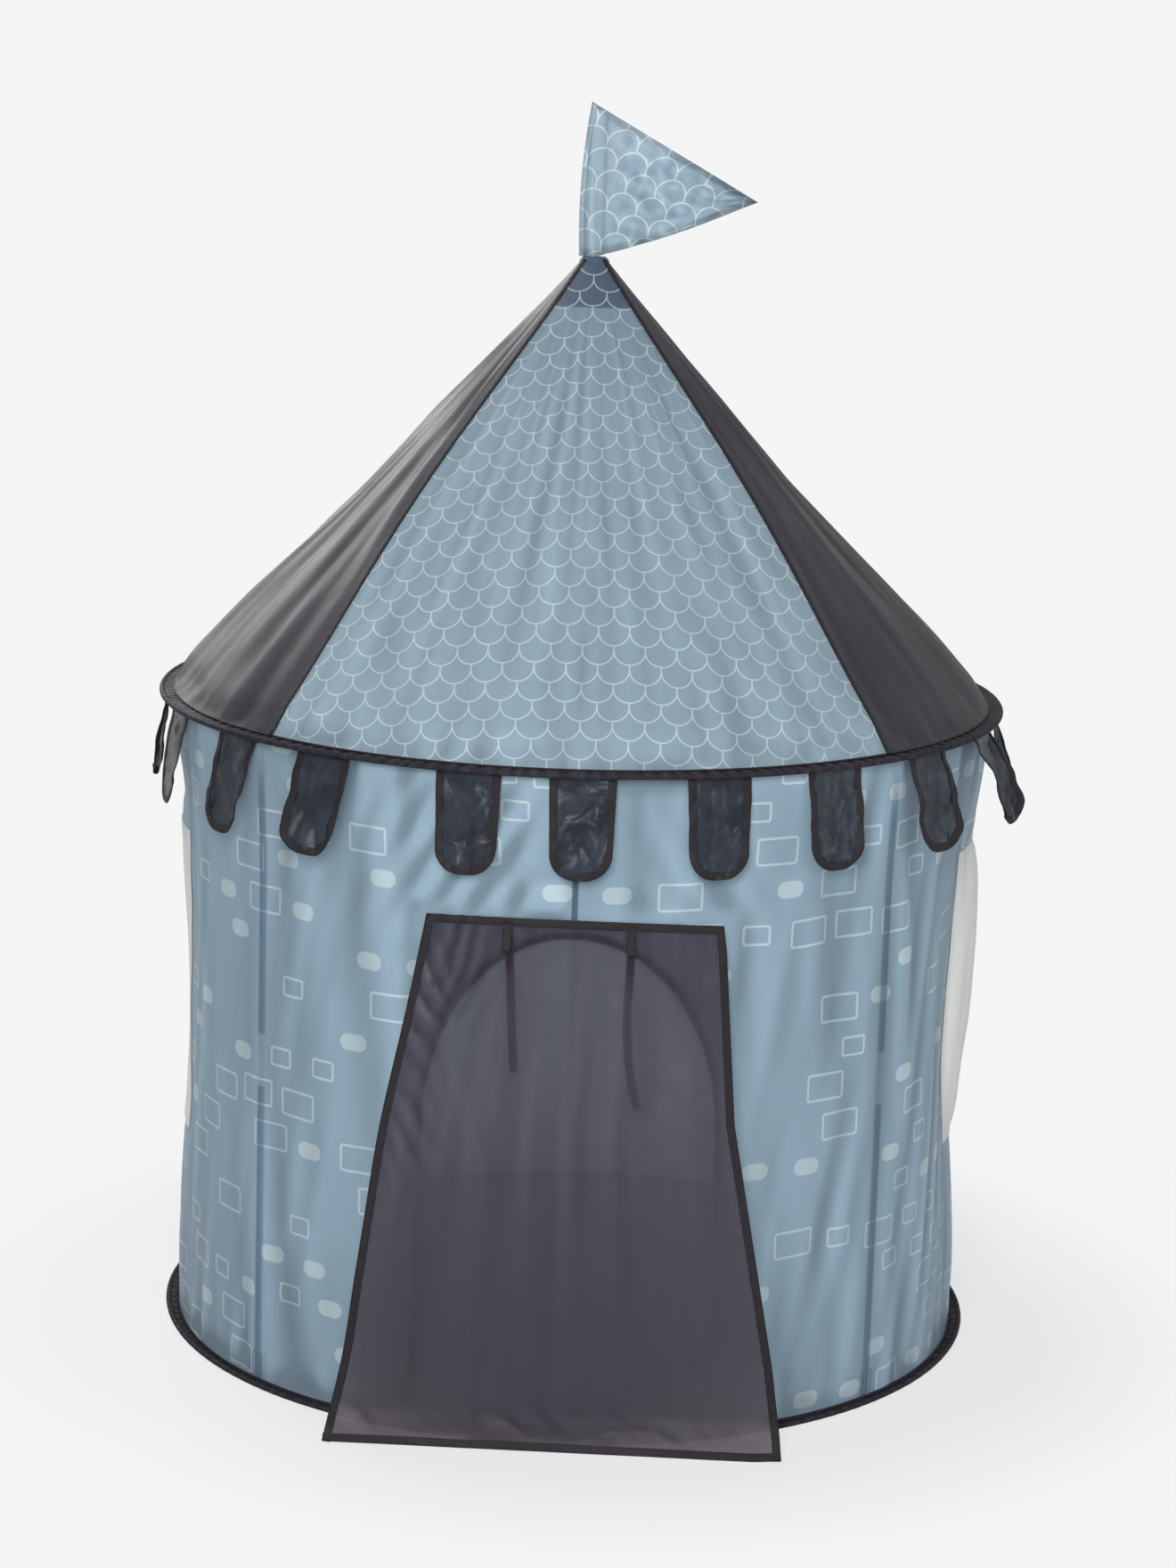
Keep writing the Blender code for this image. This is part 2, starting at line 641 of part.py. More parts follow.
def make_wall_sleeve(name, right, front):
    """A cloth tube with a foot pocket, open at the ends, and cut away where the pole is gripped."""
    tube = [wall_pole_point(right, front, height) for height in (SLEEVE_BOTTOM, SLEEVE_TOP)]
    sleeve = add_object(f"wall_pole_sleeve_{name}", tube_mesh("sleeve", tube, SLEEVE_RADIUS),
                        (0.05, 0.08, 0.12), 0.6)
    turn = Matrix.Rotation(right * front * WALL_POLE_AZIMUTH + (0 if front > 0 else pi), 4, "Z")
    middle = wall_pole_point(right, front, WALL_FOOT + POCKET_HEIGHT / 2)
    pocket_depth = 2 * SLEEVE_RADIUS
    pocket = box_mesh("pocket", (POCKET_WIDTH, pocket_depth, POCKET_HEIGHT),
                      Matrix.Translation(middle) @ turn)
    boolean(sleeve, add_cutter(f"pocket_{name}", pocket), "UNION")
    window_middle = wall_pole_point(right, front, sum(SLEEVE_WINDOW) / 2)
    inward = Matrix.Translation((0, SLEEVE_RADIUS + CASING_CLOTH, 0))
    window = box_mesh("grip", (4 * SLEEVE_RADIUS, 2 * SLEEVE_RADIUS, SLEEVE_WINDOW[1] - SLEEVE_WINDOW[0]),
                      Matrix.Translation(window_middle) @ turn @ inward)
    boolean(sleeve, add_cutter(f"grip_{name}", window))
    ends = [wall_pole_point(right, front, height) for height in (WALL_FOOT - CLOTH, SLEEVE_TOP + CLOTH)]
    boolean(sleeve, add_cutter(f"sleeve_bore_{name}", cylinder_mesh("bore", *ends, SLEEVE_BORE)))


def make_elbow(name, right, front):
    """The moulded elbow at the eave, with a blind socket for each pole."""
    foot = wall_pole_point(right, front, ELBOW_FOOT)
    knee = wall_pole_point(right, front, ELBOW_FOOT + SOCKET_DEPTH)
    hip = roof_pole_point(right, front, ROOF_ROWS[1])
    way = (roof_pole_point(right, front, ROOF_ROWS[2]) - hip).normalized()
    head = hip + way * SOCKET_DEPTH
    turn = turn_points(knee, Vector((0, 0, 1)), hip, way, ELBOW_TURN_STEPS)
    body = tube_mesh("elbow", [foot, knee, *turn, hip, head], FITTING_RADIUS)
    elbow = add_object(f"pole_elbow_{name}", body, (0.02, 0.02, 0.022), 0.45)
    down = foot - Vector((0, 0, CLOTH))
    boolean(elbow, add_cutter(f"wall_socket_{name}", cylinder_mesh("socket", down, knee, SOCKET_BORE)))
    boolean(elbow, add_cutter(f"roof_socket_{name}",
                              cylinder_mesh("socket", hip, head + way * CLOTH, SOCKET_BORE)))


def make_roof_pole(name, right, front):
    """A bent roof pole from its elbow to the hub, and the seam sleeve that holds it to the roof."""
    hip = roof_pole_point(right, front, ROOF_ROWS[1])
    way = (roof_pole_point(right, front, ROOF_ROWS[2]) - hip).normalized()
    path = [roof_pole_point(right, front, share) for share in roof_shares(ROOF_ROWS[1], ROOF_ROWS[-2])]
    path[0] = hip + way * GAP
    add_object(f"roof_pole_{name}", tube_mesh("pole", path, POLE_RADIUS), (0.04, 0.04, 0.045), 0.4)
    covered = [roof_pole_point(right, front, share) for share in roof_shares(ROOF_ROWS[2], ROOF_SLEEVE_TOP)]
    sleeve = add_object(f"roof_pole_sleeve_{name}",
                        tube_mesh("sleeve", covered, SLEEVE_RADIUS, capped=False), (0.02, 0.02, 0.025), 0.6)
    thicken(sleeve, SLEEVE_CLOTH)


def make_hub():
    """The apex hub: a boss for the flag rod and four sockets for the roof poles."""
    boss = cylinder_mesh("apex_hub", Vector((0, 0, HUB_FOOT)), Vector((0, 0, HUB_TOP)), HUB_RADIUS, 20)
    hub = add_object("apex_hub", boss, (0.02, 0.02, 0.022), 0.45)
    for name, right, front in QUADRANTS:
        top = roof_pole_point(right, front, ROOF_ROWS[-2])
        way = (roof_pole_point(right, front, ROOF_ROWS[-3]) - top).normalized()
        to_axis = sqrt(top.x ** 2 + top.y ** 2) / sqrt(way.x ** 2 + way.y ** 2)
        root = top - way * (to_axis - HUB_ARM_ROOT)
        mouth = top + way * SOCKET_DEPTH
        arm = cylinder_mesh("arm", root, mouth, FITTING_RADIUS)
        boolean(hub, add_cutter(f"hub_arm_{name}", arm), "UNION")
        boolean(hub, add_cutter(f"hub_socket_{name}", cylinder_mesh(
            "socket", top - way * GAP, mouth + way * CLOTH, SOCKET_BORE)))
    above = box_mesh("above", (4 * HUB_RADIUS, 4 * HUB_RADIUS, HUB_RADIUS),
                     Matrix.Translation((0, 0, HUB_TOP + HUB_RADIUS / 2)))
    boolean(hub, add_cutter("hub_trim", above))
    bore = cylinder_mesh("bore", Vector((0, 0, ROD_FOOT - GAP)), Vector((0, 0, HUB_TOP + CLOTH)), SOCKET_BORE)
    boolean(hub, add_cutter("rod_socket", bore))


def make_frame():
    for quadrant in QUADRANTS:
        make_wall_pole(*quadrant)
        make_wall_sleeve(*quadrant)
        make_elbow(*quadrant)
        make_roof_pole(*quadrant)
    make_hub()


# Roof gores

def make_roof():
    """Four gores: printed ones at the front and back, plain ones at the sides."""
    blue = (0.24, 0.35, 0.42)
    grey = (0.06, 0.055, 0.065)
    side_half = pi / 2 - ROOF_POLE_AZIMUTH
    gores = (("front", 0.0, ROOF_POLE_AZIMUTH, blue), ("right", pi / 2, side_half, grey),
             ("back", pi, ROOF_POLE_AZIMUTH, blue), ("left", -pi / 2, side_half, grey))
    columns = [2 * index / GORE_COLUMNS - 1 for index in range(GORE_COLUMNS + 1)]
    for name, middle, half_span, colour in gores:
        mesh = cloth_mesh(f"roof_gore_{name}", columns, ROOF_ROWS,
                          lambda across, share: gore_point(middle, half_span, across, share))
        thicken(add_object(f"roof_gore_{name}", mesh, colour, 0.5))


# Flag

def make_flag():
    """The rod in the hub, and the pennant, whose sleeve turns on the rod."""
    rod = [Vector((0, 0, ROD_FOOT)), Vector((0, 0, FLAG_TOP - CLOTH))]
    add_object("flag_rod", tube_mesh("rod", rod, POLE_RADIUS), (0.04, 0.04, 0.045), 0.4)
    middle = (FLAG_FOOT + FLAG_TOP) / 2
    turns = [2 * pi * index / 16 for index in range(16)]
    outer = [(FLAG_SLEEVE_WIDTH / 2 * cos(turn), FLAG_SLEEVE_DEPTH / 2 * sin(turn)) for turn in turns]
    inner = [(SLEEVE_BORE * cos(turn), SLEEVE_BORE * sin(turn)) for turn in reversed(turns)]
    sleeve = plate_mesh("flag", [outer, inner], FLAG_HEIGHT)
    sleeve.transform(Matrix.Translation((0, 0, middle)))
    flag = add_object("flag", sleeve, (0.33, 0.43, 0.50), 0.5)
    hoist = (SLEEVE_BORE + FLAG_SLEEVE_WIDTH / 2) / 2
    edge = [(reach, FLAG_FOOT + height) for reach, height in FLAG_FLY]
    outline = [(hoist, FLAG_TOP - 3 * CLOTH), *edge, (hoist, FLAG_FOOT + GAP)]
    fly = plate_mesh("fly", [outline], FLAG_CLOTH)
    fly.transform(Matrix.Rotation(pi / 2, 4, "X"))
    boolean(flag, add_cutter("flag_fly", fly), "UNION")


# Merlon tabs

def merlon_outline():
    """A tab hanging from its top edge at Y = 0, with straight sides and a rounded end."""
    top = MERLON_TOP_WIDTH / 2
    end = MERLON_END_WIDTH / 2
    steps = 4
    right = []
    for index in range(steps + 1):
        turn = pi / 2 * index / steps
        right.append((end - MERLON_CORNER * (1 - cos(turn)),
                      MERLON_CORNER * (1 - sin(turn)) - MERLON_LENGTH))
    left = [(-x, y) for x, y in reversed(right)]
    return [(top, 0.0), *right, *left, (-top, 0.0)]


def make_merlons():
    """Each tab's origin is on its hinge line, in the seam under the eave."""
    hinge_height = EAVE_HEIGHT - LIP / 2 - MERLON_GAP - CLOTH / 2
    eave = bpy.data.objects.new("eave_seam", None)
    eave.location = (0, 0, hinge_height)
    TENT.objects.link(eave)
    for index, (azimuth, lean) in enumerate(MERLONS, 1):
        mesh = plate_mesh("merlon", [merlon_outline()], CLOTH)
        mesh.transform(Matrix.Translation((0, 0, CLOTH / 2)) @ Matrix.Rotation(pi / 2, 4, "X"))
        tab = add_object(f"merlon_{index:02d}", mesh, (0.03, 0.03, 0.035), 0.45)
        tab.parent = eave
        tab.location = azimuth_point(MERLON_RADIUS, radians(azimuth), 0.0)
        tab.rotation_euler = (-radians(lean), 0, radians(azimuth))


clear_scene()
TENT = new_collection("castle_play_tent")
CUTTERS = new_collection("cutters")
make_floor_and_hoops()
make_wall()
make_seam_tape()
make_windows()
make_frame()
make_roof()
make_flag()
make_door_flap()
make_merlons()
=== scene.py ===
"""Castle play tent: its printed cloth, tapes, net, flag and frame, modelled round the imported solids.

Metres, +Z up, in the frame of the solids: the floor is Z = 0, the door faces -Y, and an azimuth is measured
from the door, with +90 degrees on the +X side. A surface is a function of two numbers, worked out with numpy.
"""

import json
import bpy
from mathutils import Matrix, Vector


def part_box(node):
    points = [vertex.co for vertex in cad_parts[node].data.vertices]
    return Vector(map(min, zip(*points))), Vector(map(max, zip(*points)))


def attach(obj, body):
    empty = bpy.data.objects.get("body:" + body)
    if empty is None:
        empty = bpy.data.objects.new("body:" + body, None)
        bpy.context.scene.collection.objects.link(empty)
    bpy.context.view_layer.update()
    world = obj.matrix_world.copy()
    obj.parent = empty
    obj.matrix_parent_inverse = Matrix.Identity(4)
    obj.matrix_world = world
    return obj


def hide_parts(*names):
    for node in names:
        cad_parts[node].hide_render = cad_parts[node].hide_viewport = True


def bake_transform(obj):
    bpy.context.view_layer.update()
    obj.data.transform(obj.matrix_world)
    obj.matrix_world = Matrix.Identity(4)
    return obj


bl_info = {
    "name": "Castle play tent",
    "version": (1, 0, 0),
    "blender": (4, 5, 0),
    "location": "View3D > Sidebar > Play tent",
    "description": "Dresses the solids of a castle play tent in printed cloth, tape and net",
    "category": "Add Mesh",
}

from math import atan2, cos, pi, radians, sin

import bpy
import numpy as np
from mathutils import Matrix

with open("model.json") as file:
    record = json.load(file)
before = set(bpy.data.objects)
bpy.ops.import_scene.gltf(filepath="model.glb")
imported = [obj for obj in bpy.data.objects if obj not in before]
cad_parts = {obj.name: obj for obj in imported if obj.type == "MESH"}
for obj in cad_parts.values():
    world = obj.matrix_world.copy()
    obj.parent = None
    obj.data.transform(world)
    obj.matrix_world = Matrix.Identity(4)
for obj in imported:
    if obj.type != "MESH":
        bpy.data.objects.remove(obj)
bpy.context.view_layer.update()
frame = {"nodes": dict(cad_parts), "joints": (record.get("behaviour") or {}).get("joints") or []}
JOINTS = {joint["name"]: joint for joint in frame["joints"]}
SIDES = (("left", -1), ("right", 1))
ENDS = (("front", 1), ("back", -1))
BODY_CENTRE = (0, 0, 0.4)
ROOF_CENTRE = (0, 0, 0.9)

# Hoops, as the solids have them
FLOOR_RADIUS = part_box("floor_hoop_casing")[1].x
EAVE_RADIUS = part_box("eave_hoop_casing")[1].x
EAVE_HEIGHT = sum(corner.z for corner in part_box("eave_hoop")) / 2
CASING_BULGE = 0.003
FLOOR_CASING_WIDTH = 0.0235
EAVE_CASING_WIDTH = 0.024
FLOOR_SHEET_RADIUS = FLOOR_RADIUS - 0.022
LAYERS = 0.0013
SEAM_STEP = 0.00015
CREST_HEIGHT = 0.0016
GATHER_PITCH = 0.0190
GATHER_HEIGHT = 0.0016

# Wall. A corner of its grid snaps to an outline from less than a share of a cell away.
WALL_CELL = 0.0064
SNAP_SHARE = 0.58
WALL_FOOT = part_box("wall_panel_left")[0].z
WALL_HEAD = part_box("wall_panel_left")[1].z
WALL_POLE_AZIMUTH = radians(47.0)
WALL_POLES = (WALL_POLE_AZIMUTH, pi - WALL_POLE_AZIMUTH)
WALL_POLE_RADIUS = 0.4825
POLE_STRIP = radians(2.2)
POLE_LINE_RADIUS = 0.48918
WALL_MID_RADIUS = FLOOR_RADIUS - 0.0165
WALL_TOP_RADIUS = EAVE_RADIUS - 0.018
SIDE_WAIST = 0.017
LEFT_HOLLOW = 0.009
FRONT_WAIST = 0.004
WAIST_FOOT = 0.05
WAIST_TOP = EAVE_HEIGHT - 0.026
FLARE_FOOT = EAVE_HEIGHT - 0.176
SLEEVE_HEIGHTS = (0.010, 0.70)
SLEEVE_GRIP = (0.365, 0.425)
SLEEVE_RADIUS = 0.0050
POCKET_SIZE = (0.032, 0.038)

# Doorway, flap and ties
DOOR_SILL = 0.028
DOOR_SPRING = 0.36
DOOR_TOP = 0.592
DOOR_HALF_WIDTH = 0.171
HINGE = JOINTS["door_flap_lift"]["pos_m"]
FLAP_TOP = HINGE[2]
FLAP_TOP_LEFT = -0.1635
FLAP_TOP_RIGHT = 0.1655
HEM_LEFT = (-0.268, -FLOOR_RADIUS - 0.007)
HEM_RIGHT = (0.251, -FLOOR_RADIUS - 0.033)
HEM_HEIGHT = 0.0012
HEM_FLARE = 0.045
FLAP_LIFT = 0.0018
TIE_PLACES = (-0.073, 0.063)
TIE_WIDTH = 0.0095
TIE_LOOP = 0.031
TIE_TAILS = (0.175, 0.210)
TIE_SWINGS = ((0.155, 0.0), (-0.02, 0.09))

# Windows
WINDOW_HALF_ANGLE = radians(16.0)
WINDOW_FOOT = 0.26
WINDOW_TOP = 0.61
WINDOW_CORNER = 0.05
WINDOW_LAP = 0.010
WINDOW_BULGES = {-1: -0.002, 1: 0.024}

# Roof, from the eave to the apex
ROOF_POLE_AZIMUTH = radians(44.8)
ROOF_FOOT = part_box("roof_gore_front")[0].z + 0.0012
ROOF_FOOT_RADIUS = 0.5005
FOOT_TURN_IN = 0.0055
APEX_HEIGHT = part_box("roof_gore_front")[1].z
APEX_RADIUS = 0.0165
APEX_COLLAR = np.array([[0.0185, -0.005], [0.0172, -0.0004], [0.0150, 0.0018], [0.0133, 0.0031],
                        [0.0129, 0.0030], [0.0145, 0.0012], [0.0164, -0.0010], [0.0178, -0.005]])
ROOF_BOW = 0.017
GORE_HOLLOW = 0.105
HOLLOW_FOOT = 0.12
HOLLOW_RUN = 0.45
GORE_EASE = 0.85
PATCH_FOOT = 1.247
POLE_UNDER_RIDGE = 0.0075
RIDGE_SLEEVE_RADIUS = 0.0046

# Flag
FLAG_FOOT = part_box("flag")[0].z
FLAG_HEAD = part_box("flag")[1].z
FLAG_TIP = 0.193
FLAG_TIP_HEIGHT = FLAG_FOOT + 0.069
FLAG_SLEEVE = 0.0095
FLAG_HOIST = -0.0185
FLAG_PEAK = 0.006

# Merlon tabs. A form is (curl, cup, twist, tuck); the tabs that aren't named get theirs by a seeded draw.
MERLONS = 20
MERLON_LENGTH = 0.115
MERLON_TOP_WIDTH = 0.073
MERLON_END_WIDTH = 0.068
MERLON_CORNER = 0.028
MERLON_SWING = 75
MERLON_INNER_LEAN = radians(-2)
TAB_FOLDS = 0.0022
TAB_CLEARANCE = 0.0030
TAB_SPREAD = (0.004, 0.004, 0.005)
TAB_FORMS = {5: (-0.015, 0.004, 0.005, 0.2), 6: (-0.009, 0.002, 0.005, 0.2), 7: (-0.004, 0.004, 0.003, 0.32),
             8: (0.003, 0.004, -0.009, 0.28), 9: (0.001, 0.001, 0.000, 0.0), 10: (0.001, 0.002, 0.001, 0.0),
             11: (0.001, 0.001, 0.001, 0.0), 12: (0.004, 0.004, 0.004, 0.0), 13: (0.008, 0.006, 0.009, 0.0),
             14: (0.001, 0.010, 0.006, 0.0), 15: (0.006, 0.004, -0.004, 0.0)}

# Tapes: (width, thickness). An inset is a share of the binding's width.
ARCH_THICKNESS = 0.0020
SEAM_TAPE = (0.009, 0.0009)
WINDOW_HEM = (0.0055, 0.0012)
RIDGE_PIPING = (0.0056, 0.0024)
EAVE_PIPING = (0.0022, 0.0012)
WALL_HEM = (0.0062, 0.0018)
BINDING_INSET = 0.42
ARCH_INSET = 0.15

# Shares of the rectangle round it that a flat cut covers
DOOR_SHARE = 0.9
GORE_SHARE = 0.52

# Printed blocks: each cell's size and stagger, and shares of cells with a big, any outlined, or any block
BLOCK_CELL = (0.067, 0.047)
BLOCK_STAGGER = 0.37
BLOCK_SHARES = (0.18, 0.32, 0.55)

# Picture: 1320 by 1760 pixels, focal length and camera angles measured on it
PICTURE_HEIGHT = 1760
FOCAL_PIXELS = 4085.1
SENSOR = 36.0
CAMERA_PLACE = (0.0060, -4.3761, 1.5769)
CAMERA_PITCH = 0.2062955
CAMERA_ROLL = 0.0299621
CAMERA_YAW = 0.0011676

# Soft lights: name, place, aim, size and watts
SOFTBOXES = (("key_softbox", (-0.3, -3.6, 2.05), (0, 0, 0.75), 1.1, 110.0),
             ("right_softbox", (3.1, -1.2, 1.0), (0, 0, 0.5), 1.5, 18.0),
             ("back_softbox", (-1.6, 2.8, 2.4), (0, 0, 0.7), 2.4, 88.0),
             ("top_softbox", (-1.35, 0.8, 4.1), (-0.2, 0, 0.9), 1.4, 40.0))
WORLD_STRENGTH = 0.36


def ink(red, green, blue):
    """A colour read as 0 to 255 on a screen, as the linear colour that shaders use."""
    shares = np.array((red, green, blue)) / 255
    return tuple(float(x) for x in np.where(shares > 0.04045, ((shares + 0.055) / 1.055) ** 2.4, shares / 12.92))


BACKDROP = (*ink(245, 245, 245), 1.0)


def length(name, description, default):
    """A length that a user may change."""
    return bpy.props.FloatProperty(name=name, description=description, default=default, unit="LENGTH")


def tint(name, description, *screen):
    """A colour that a user may change."""
    return bpy.props.FloatVectorProperty(name=name, description=description, default=ink(*screen), subtype="COLOR")


class TentSizes(bpy.types.PropertyGroup):
    """Sizes of the finish that a user may change."""
    fold_depth: bpy.props.FloatProperty(
        name="Fold depth", description="Share of the cloth's folds that is kept", default=1.0, min=0.0, max=2.0,
        subtype="FACTOR")
    tape_width: length("Binding width", "Width of the folded binding tape", 0.0095)
    tape_thickness: length("Binding thickness", "Thickness of the folded tape", 0.0017)
    scale_width: length("Scale width", "Width of one printed fish scale", 0.0355)
    scale_pitch: length("Scale pitch", "Height of one row of fish scales", 0.0240)
    scale_line: length("Scale line", "Width of the printed line round the scales", 0.0017)
    block_line: length("Block line", "Width of the printed line round a block", 0.0030)
    net_mesh: length("Net mesh", "Spacing of the net's threads", 0.0016)


class TentColours(bpy.types.PropertyGroup):
    """Colours of the cloth, tapes and fittings."""
    wall: tint("Wall", "Ground colour of the wall cloth", 149, 173, 189)
    roof: tint("Roof", "Ground colour of the printed roof cloth", 146, 167, 181)
    print_line: tint("Print", "Colour of the printed lines and blocks", 203, 219, 222)
    # This seam colour also paints the shadow of the wall poles behind the cloth
    seam: tint("Seam", "Doubled cloth of the wall's seams and pole lines", 58, 84, 112)
    # Painted shade: the colour that the roof runs to towards the apex and over the patch inside it
    patch: tint("Apex patch", "Roof cloth over the patch at the apex", 70, 86, 112)
    charcoal: tint("Charcoal", "Plain cloth of the side gores", 55, 53, 59)
    tab: tint("Tab", "Glossy cloth of the merlon tabs", 36, 41, 51)
    flap: tint("Flap", "See-through cloth of the door flap", 54, 46, 57)
    floor: tint("Floor", "Cloth of the floor sheet", 70, 71, 78)
    binding: tint("Binding", "Folded binding tape", 30, 27, 31)
    net: tint("Net", "Window net", 240, 240, 236)
    fitting: tint("Fitting", "Moulded elbows and hub", 38, 38, 41)
    pole: tint("Pole", "Glass-fibre poles", 46, 46, 48)
    wire: tint("Wire", "Spring wire of the hoops", 176, 176, 180)


def sizes():
    return bpy.context.scene.tent_sizes


def colours():
    return bpy.context.scene.tent_colours


# Arrays and surfaces

def smooth(value):
    """A smooth step from 0 to 1."""
    value = np.clip(value, 0.0, 1.0)
    return value * value * (3 - 2 * value)


def unit(vectors):
    """Vectors divided by their lengths."""
    return vectors / np.maximum(np.linalg.norm(vectors, axis=-1, keepdims=True), 1e-12)


def packed(*parts):
    """Arrays brought to one shape and packed side by side, as X, Y and Z, U and V or a route's two numbers."""
    return np.stack(np.broadcast_arrays(*parts), axis=-1)


def around(radius, azimuth, height):
    """Points at a radius, an azimuth and a height."""
    return packed(radius * np.sin(azimuth), -radius * np.cos(azimuth), height)


def travelled(path):
    """The distance along a path to each of its points."""
    return np.concatenate([[0], np.cumsum(np.linalg.norm(np.diff(path, axis=0), axis=1))])


def noise(u, v, seed):
    """Smooth noise from -1 to 1: seeded random values on a square lattice, joined by smooth steps."""
    table = np.random.default_rng(seed).uniform(-1, 1, (64, 64))
    u, v = np.broadcast_arrays(u, v)
    i, j = np.floor(u).astype(int), np.floor(v).astype(int)
    a, b = smooth(u - i), smooth(v - j)
    low = table[i % 64, j % 64] * (1 - a) + table[(i + 1) % 64, j % 64] * a
    high = table[i % 64, (j + 1) % 64] * (1 - a) + table[(i + 1) % 64, (j + 1) % 64] * a
    return low * (1 - b) + high * b


def bump_at(value, centre, spread):
    """A bell that is 1 at the centre and falls off over the spread."""
    return np.exp(-((value - centre) / spread) ** 2)


def turned_azimuth(azimuth):
    """The azimuth brought between -180 and 180 degrees."""
    return (azimuth + pi) % (2 * pi) - pi


def wall_radius(azimuth, height):
    """Radius of the smooth wall: widest along the poles, drawn in at a waist between them, flared at the eave.

    A shallow hollow lies over the left window.
    """
    from_side = np.abs(np.abs(turned_azimuth(azimuth)) - pi / 2)
    pole = pi / 2 - WALL_POLE_AZIMUTH
    side = from_side < pole
    share = np.where(side, (pole - POLE_STRIP - from_side) / (pole - POLE_STRIP),
                     (from_side - pole - POLE_STRIP) / (WALL_POLE_AZIMUTH - POLE_STRIP))
    pull = np.sin(pi / 2 * np.clip(share, 0, 1)) ** 2
    waist = np.sin(pi * np.clip((height - WAIST_FOOT) / (WAIST_TOP - WAIST_FOOT), 0, 1)) ** 2
    between = WALL_MID_RADIUS - np.where(side, SIDE_WAIST, FRONT_WAIST) * waist
    settled = POLE_LINE_RADIUS + (WALL_MID_RADIUS - POLE_LINE_RADIUS) * pull
    flare = smooth((height - FLARE_FOOT) / (WALL_HEAD - FLARE_FOOT))
    hollow = LEFT_HOLLOW * bump_at(turned_azimuth(azimuth), -pi / 2, 0.24) * bump_at(height, WINDOW_TOP + 0.062, 0.055)
    return POLE_LINE_RADIUS + (between - POLE_LINE_RADIUS) * pull + (WALL_TOP_RADIUS - settled) * flare - hollow


def wall_folds(azimuth, height):
    """How far folds push the wall out: long soft folds, short gathers at both hems and slack diagonals.

    Folds die out at the seams and the poles, and only go inwards behind the door flap. Behind the merlon tabs
    their outward part levels off at TAB_FOLDS.
    """
    azimuth = turned_azimuth(azimuth)
    along = azimuth * WALL_MID_RADIUS
    edge = WALL_HEAD - height
    billow = 0.0050 * noise(along * 7, height * 2.4, 1)
    folds = 0.0046 * noise(along * 21 + height * 2.5, height * 1.6, 2)
    creases = 0.0020 * noise(along * 44 - height * 8, height * 4.0, 3)
    gathers = 0.0038 * noise(along * 42, height * 5, 4) * np.exp(-edge / 0.07)
    foot = 0.0017 * noise(along * 34, height * 9, 5) * np.exp(-height / 0.06)
    slack = bump_at(along, -0.125, 0.075) * bump_at(height, 0.68, 0.10)
    slack_right = bump_at(along, 0.15, 0.06) * bump_at(height, 0.66, 0.08)
    diagonal = 0.0036 * slack * np.sin(2 * pi * (along * 0.80 + edge * 0.52) / 0.036)
    diagonal = diagonal + 0.00135 * slack_right * np.sin(2 * pi * (along * 0.8 + height * 0.55) / 0.041)
    window = bump_at(np.abs(np.abs(azimuth) - pi / 2), WINDOW_HALF_ANGLE, 0.05) * (height > 0.2) * (height < 0.66)
    window = 0.0024 * window * noise(height * 17, azimuth * 2, 6)
    push = billow + folds + creases + gathers + foot + diagonal + window
    hold = (1 - bump_at(azimuth, 0, 0.02)) * (1 - bump_at(np.abs(azimuth), pi, 0.03))
    for pole in WALL_POLES:
        hold = hold * (1 - 0.92 * bump_at(np.abs(azimuth), pole, 0.045))
    hold = hold * smooth(edge / 0.010 + 0.25) * smooth((height - WALL_FOOT) / 0.012 + 0.2)
    behind = smooth((0.20 - np.abs(along)) / 0.02) * smooth((FLAP_TOP + 0.030 - height) / 0.022)
    push = (push - behind * (push + 0.4 * np.abs(push))) * hold
    past = np.abs(azimuth) - WALL_POLE_AZIMUTH
    tuck = 0.0016 * np.exp(-np.abs(past) / 0.016) * (past > 0) * smooth(edge / 0.02)
    push = (push + tuck) * sizes().fold_depth
    limit = TAB_FOLDS + 0.03 * smooth((edge - MERLON_LENGTH) / 0.07)
    return np.where(push > 0, limit * np.tanh(push / limit), push)


def wall_point(azimuth, height):
    """A point of the folded wall cloth."""
    return around(wall_radius(azimuth, height) + wall_folds(azimuth, height), azimuth, height)


def ridge(share):
    """Radius and height on a roof ridge, bowed out by its bent pole, from the eave at 0 to the apex at 1."""
    radius = ROOF_FOOT_RADIUS + (APEX_RADIUS - ROOF_FOOT_RADIUS) * share
    radius = radius - FOOT_TURN_IN * smooth(1 - share / 0.07)
    return radius + ROOF_BOW * np.sin(pi * share) ** 2, ROOF_FOOT + (APEX_HEIGHT - ROOF_FOOT) * share


def ridge_slope(share):
    """The ridge's slope above the horizon, in radians."""
    (low, foot), (high, head) = ridge(share - 1e-3), ridge(share + 1e-3)
    return np.arctan2(head - foot, low - high)


